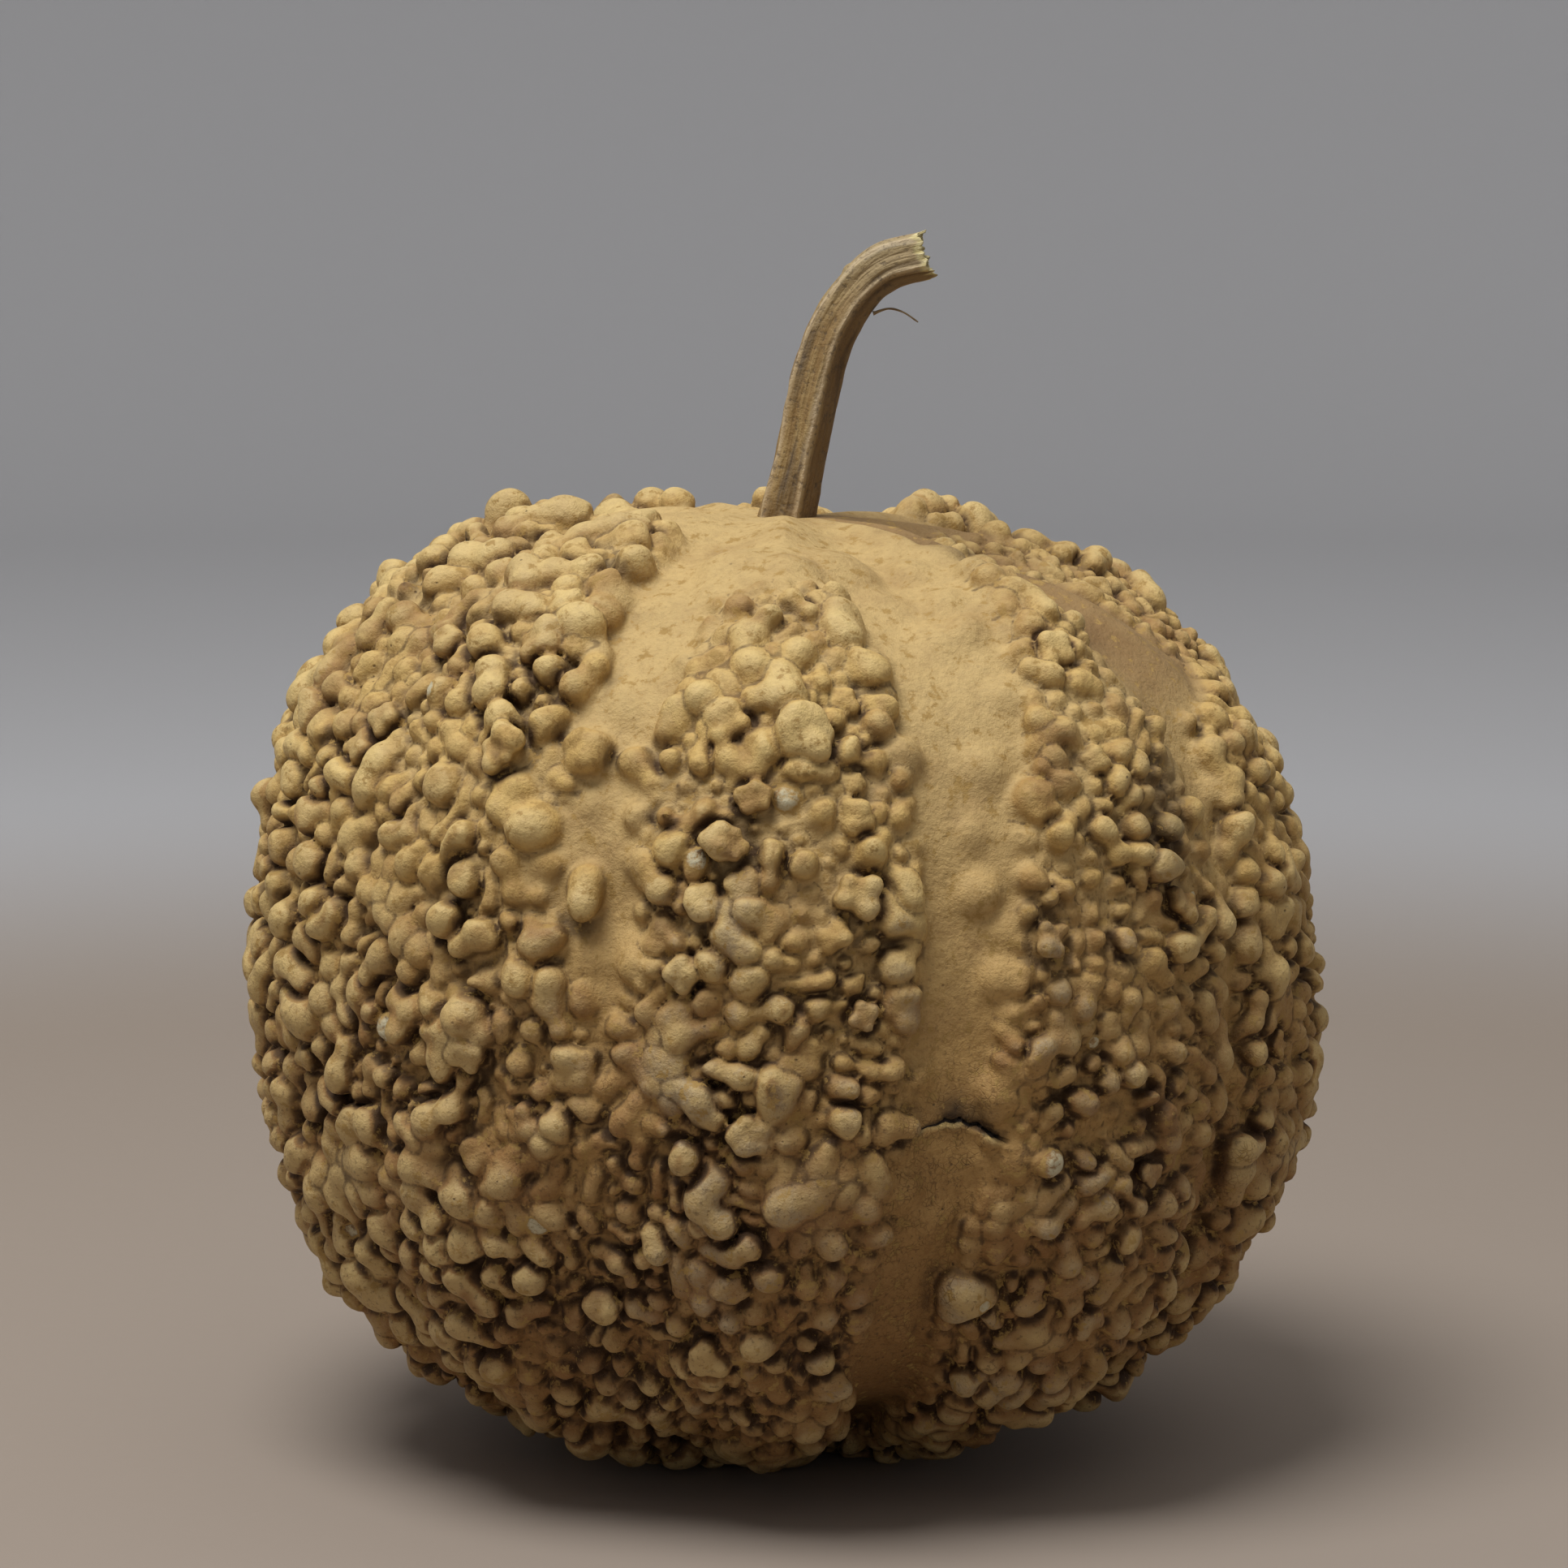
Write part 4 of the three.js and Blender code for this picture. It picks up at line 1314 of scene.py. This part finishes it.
class GOURD_OT_stem(bpy.types.Operator):
    """Make the bent, five-angled stem and its torn end"""

    bl_idname = "gourd.stem"
    bl_label = "Stem"

    def execute(self, context):
        add_piece("bent_stem", stem_mesh(), stem_finish(), "stem")
        return {"FINISHED"}


class GOURD_OT_fibre(bpy.types.Operator):
    """Make the fibre that peels from the stem"""

    bl_idname = "gourd.fibre"
    bl_label = "Fibre"

    def execute(self, context):
        add_piece("peeling_fibre", fibre_mesh(), fibre_finish(), "stem_fibre")
        return {"FINISHED"}


KEY_SPOT, KEY_SIZE = (-0.35, -0.45, 1.5), 0.8
CAMERA_AIM = (-0.0005, 0, 0.131)
FLOOR_REACH, WALL_BEND = 1.9, 0.6  # how far the floor goes flat, and how roundly it turns up
WALL_REACH = FLOOR_REACH + WALL_BEND


class StageSettings(bpy.types.PropertyGroup):
    floor: shade("Floor", "Colour of the floor", (0.325, 0.27, 0.225))
    wall: shade("Wall", "Colour of the far surround", (0.52, 0.52, 0.535))
    key_power: FloatProperty(name="Key power", description="Light from above", default=20.5, unit="POWER")
    fill: FloatProperty(name="Fill", description="Light from all round", default=0.58)
    camera_distance: length("Camera distance", "From the middle of the picture", 1.1)
    camera_tilt: FloatProperty(
        name="Camera tilt", description="Angle looking down", default=math.radians(8), subtype="ANGLE"
    )
    lens: FloatProperty(name="Lens", description="Focal length in mm, for a 36 mm sensor", default=128.0)


def surround_mesh():
    """A floor that turns up into a far wall all round, in one piece."""
    profile = [(0.001 + FLOOR_REACH * i / 24, 0.0) for i in range(25)]
    for a in np.linspace(0.08, math.pi / 2, 20):
        profile.append((FLOOR_REACH + WALL_BEND * math.sin(a), WALL_BEND - WALL_BEND * math.cos(a)))
    profile += [(WALL_REACH, 1.0), (WALL_REACH, 2.6)]
    around = 128
    angle = np.arange(around) * 2 * math.pi / around
    rings = [np.stack([r * np.cos(angle), r * np.sin(angle), np.full(around, z)], -1) for r, z in profile]
    points = np.concatenate(rings)
    return build_mesh("surround", points, tube_faces(len(profile), around))


def surround_finish(floor, wall):
    finish = Finish("plain_surround")
    place = finish.place()
    away = finish.node("ShaderNodeVectorMath", {"operation": "LENGTH"}, {0: place}, "Value")
    colour = finish.layered(floor, (away.rise(0.45, 0.95), wall))
    relief = finish.noise(place, 0.002, 2)
    return finish.close(colour, 0.7 + 0.05 * relief, relief, 0.00002, 0.2)


def add_area_light(name, spot, aim, size, power):
    light = bpy.data.lights.new(name, "AREA")
    light.shape = "DISK"
    light.size = size
    light.energy = power
    lamp = bpy.data.objects.new(name, light)
    lamp.location = spot
    lamp.rotation_euler = (Vector(aim) - Vector(spot)).to_track_quat("-Z", "Y").to_euler()
    bpy.context.scene.collection.objects.link(lamp)


class GOURD_OT_stage(bpy.types.Operator):
    """Make the plain surround, the lights and the camera"""

    bl_idname = "gourd.stage"
    bl_label = "Stage"

    def execute(self, context):
        scene = context.scene
        settings = scene.gourd_stage
        surround = bpy.data.objects.new("surround", surround_mesh())
        surround.data.materials.append(surround_finish(tuple(settings.floor), tuple(settings.wall)))
        scene.collection.objects.link(surround)
        surround.location.z = CAD_BOUNDS[0][2]
        middle = (FRUIT_LOW + FRUIT_HIGH) / 2
        add_area_light("key", KEY_SPOT, middle, KEY_SIZE, settings.key_power)
        world = bpy.data.worlds.new("room")
        world.use_nodes = True
        background = world.node_tree.nodes["Background"].inputs
        background["Color"].default_value = (1.0, 0.985, 0.96, 1)
        background["Strength"].default_value = settings.fill
        scene.world = world
        camera = bpy.data.objects.new("camera", bpy.data.cameras.new("camera"))
        camera.data.lens = settings.lens
        camera.data.sensor_width = 36
        tilt = settings.camera_tilt
        back = Vector((0, -math.cos(tilt), math.sin(tilt)))
        camera.location = Vector(CAMERA_AIM) + settings.camera_distance * back
        camera.rotation_euler = (math.pi / 2 - tilt, 0, 0)
        camera.data.clip_end = 20
        scene.collection.objects.link(camera)
        scene.camera = camera
        scene.view_settings.view_transform = "Standard"
        return {"FINISHED"}


class GOURD_PT_panel(bpy.types.Panel):
    """Sizes, colours and the makers of each piece"""

    bl_label = "Dried Warty Gourd"
    bl_idname = "GOURD_PT_panel"
    bl_space_type = "VIEW_3D"
    bl_region_type = "UI"
    bl_category = "Gourd"

    def draw(self, context):
        for name, kind in SETTINGS.items():
            box = self.layout.box()
            group = getattr(context.scene, name)
            for prop in kind.__annotations__:
                box.prop(group, prop)
        for operator in OPERATORS:
            self.layout.operator(operator.bl_idname)


SETTINGS = {"gourd_fruit": FruitSettings, "gourd_colours": RindColours, "gourd_stage": StageSettings}
OPERATORS = (GOURD_OT_fruit, GOURD_OT_stem, GOURD_OT_fibre, GOURD_OT_stage)
CLASSES = (*SETTINGS.values(), *OPERATORS, GOURD_PT_panel)


def register():
    for kind in CLASSES:
        bpy.utils.register_class(kind)
    for name, kind in SETTINGS.items():
        setattr(bpy.types.Scene, name, PointerProperty(type=kind))


def unregister():
    for name in SETTINGS:
        delattr(bpy.types.Scene, name)
    for kind in reversed(CLASSES):
        bpy.utils.unregister_class(kind)


def main():
    register()
    bpy.ops.gourd.fruit()
    bpy.ops.gourd.stem()
    bpy.ops.gourd.fibre()
    bpy.ops.gourd.stage()


if __name__ == "__main__":
    main()
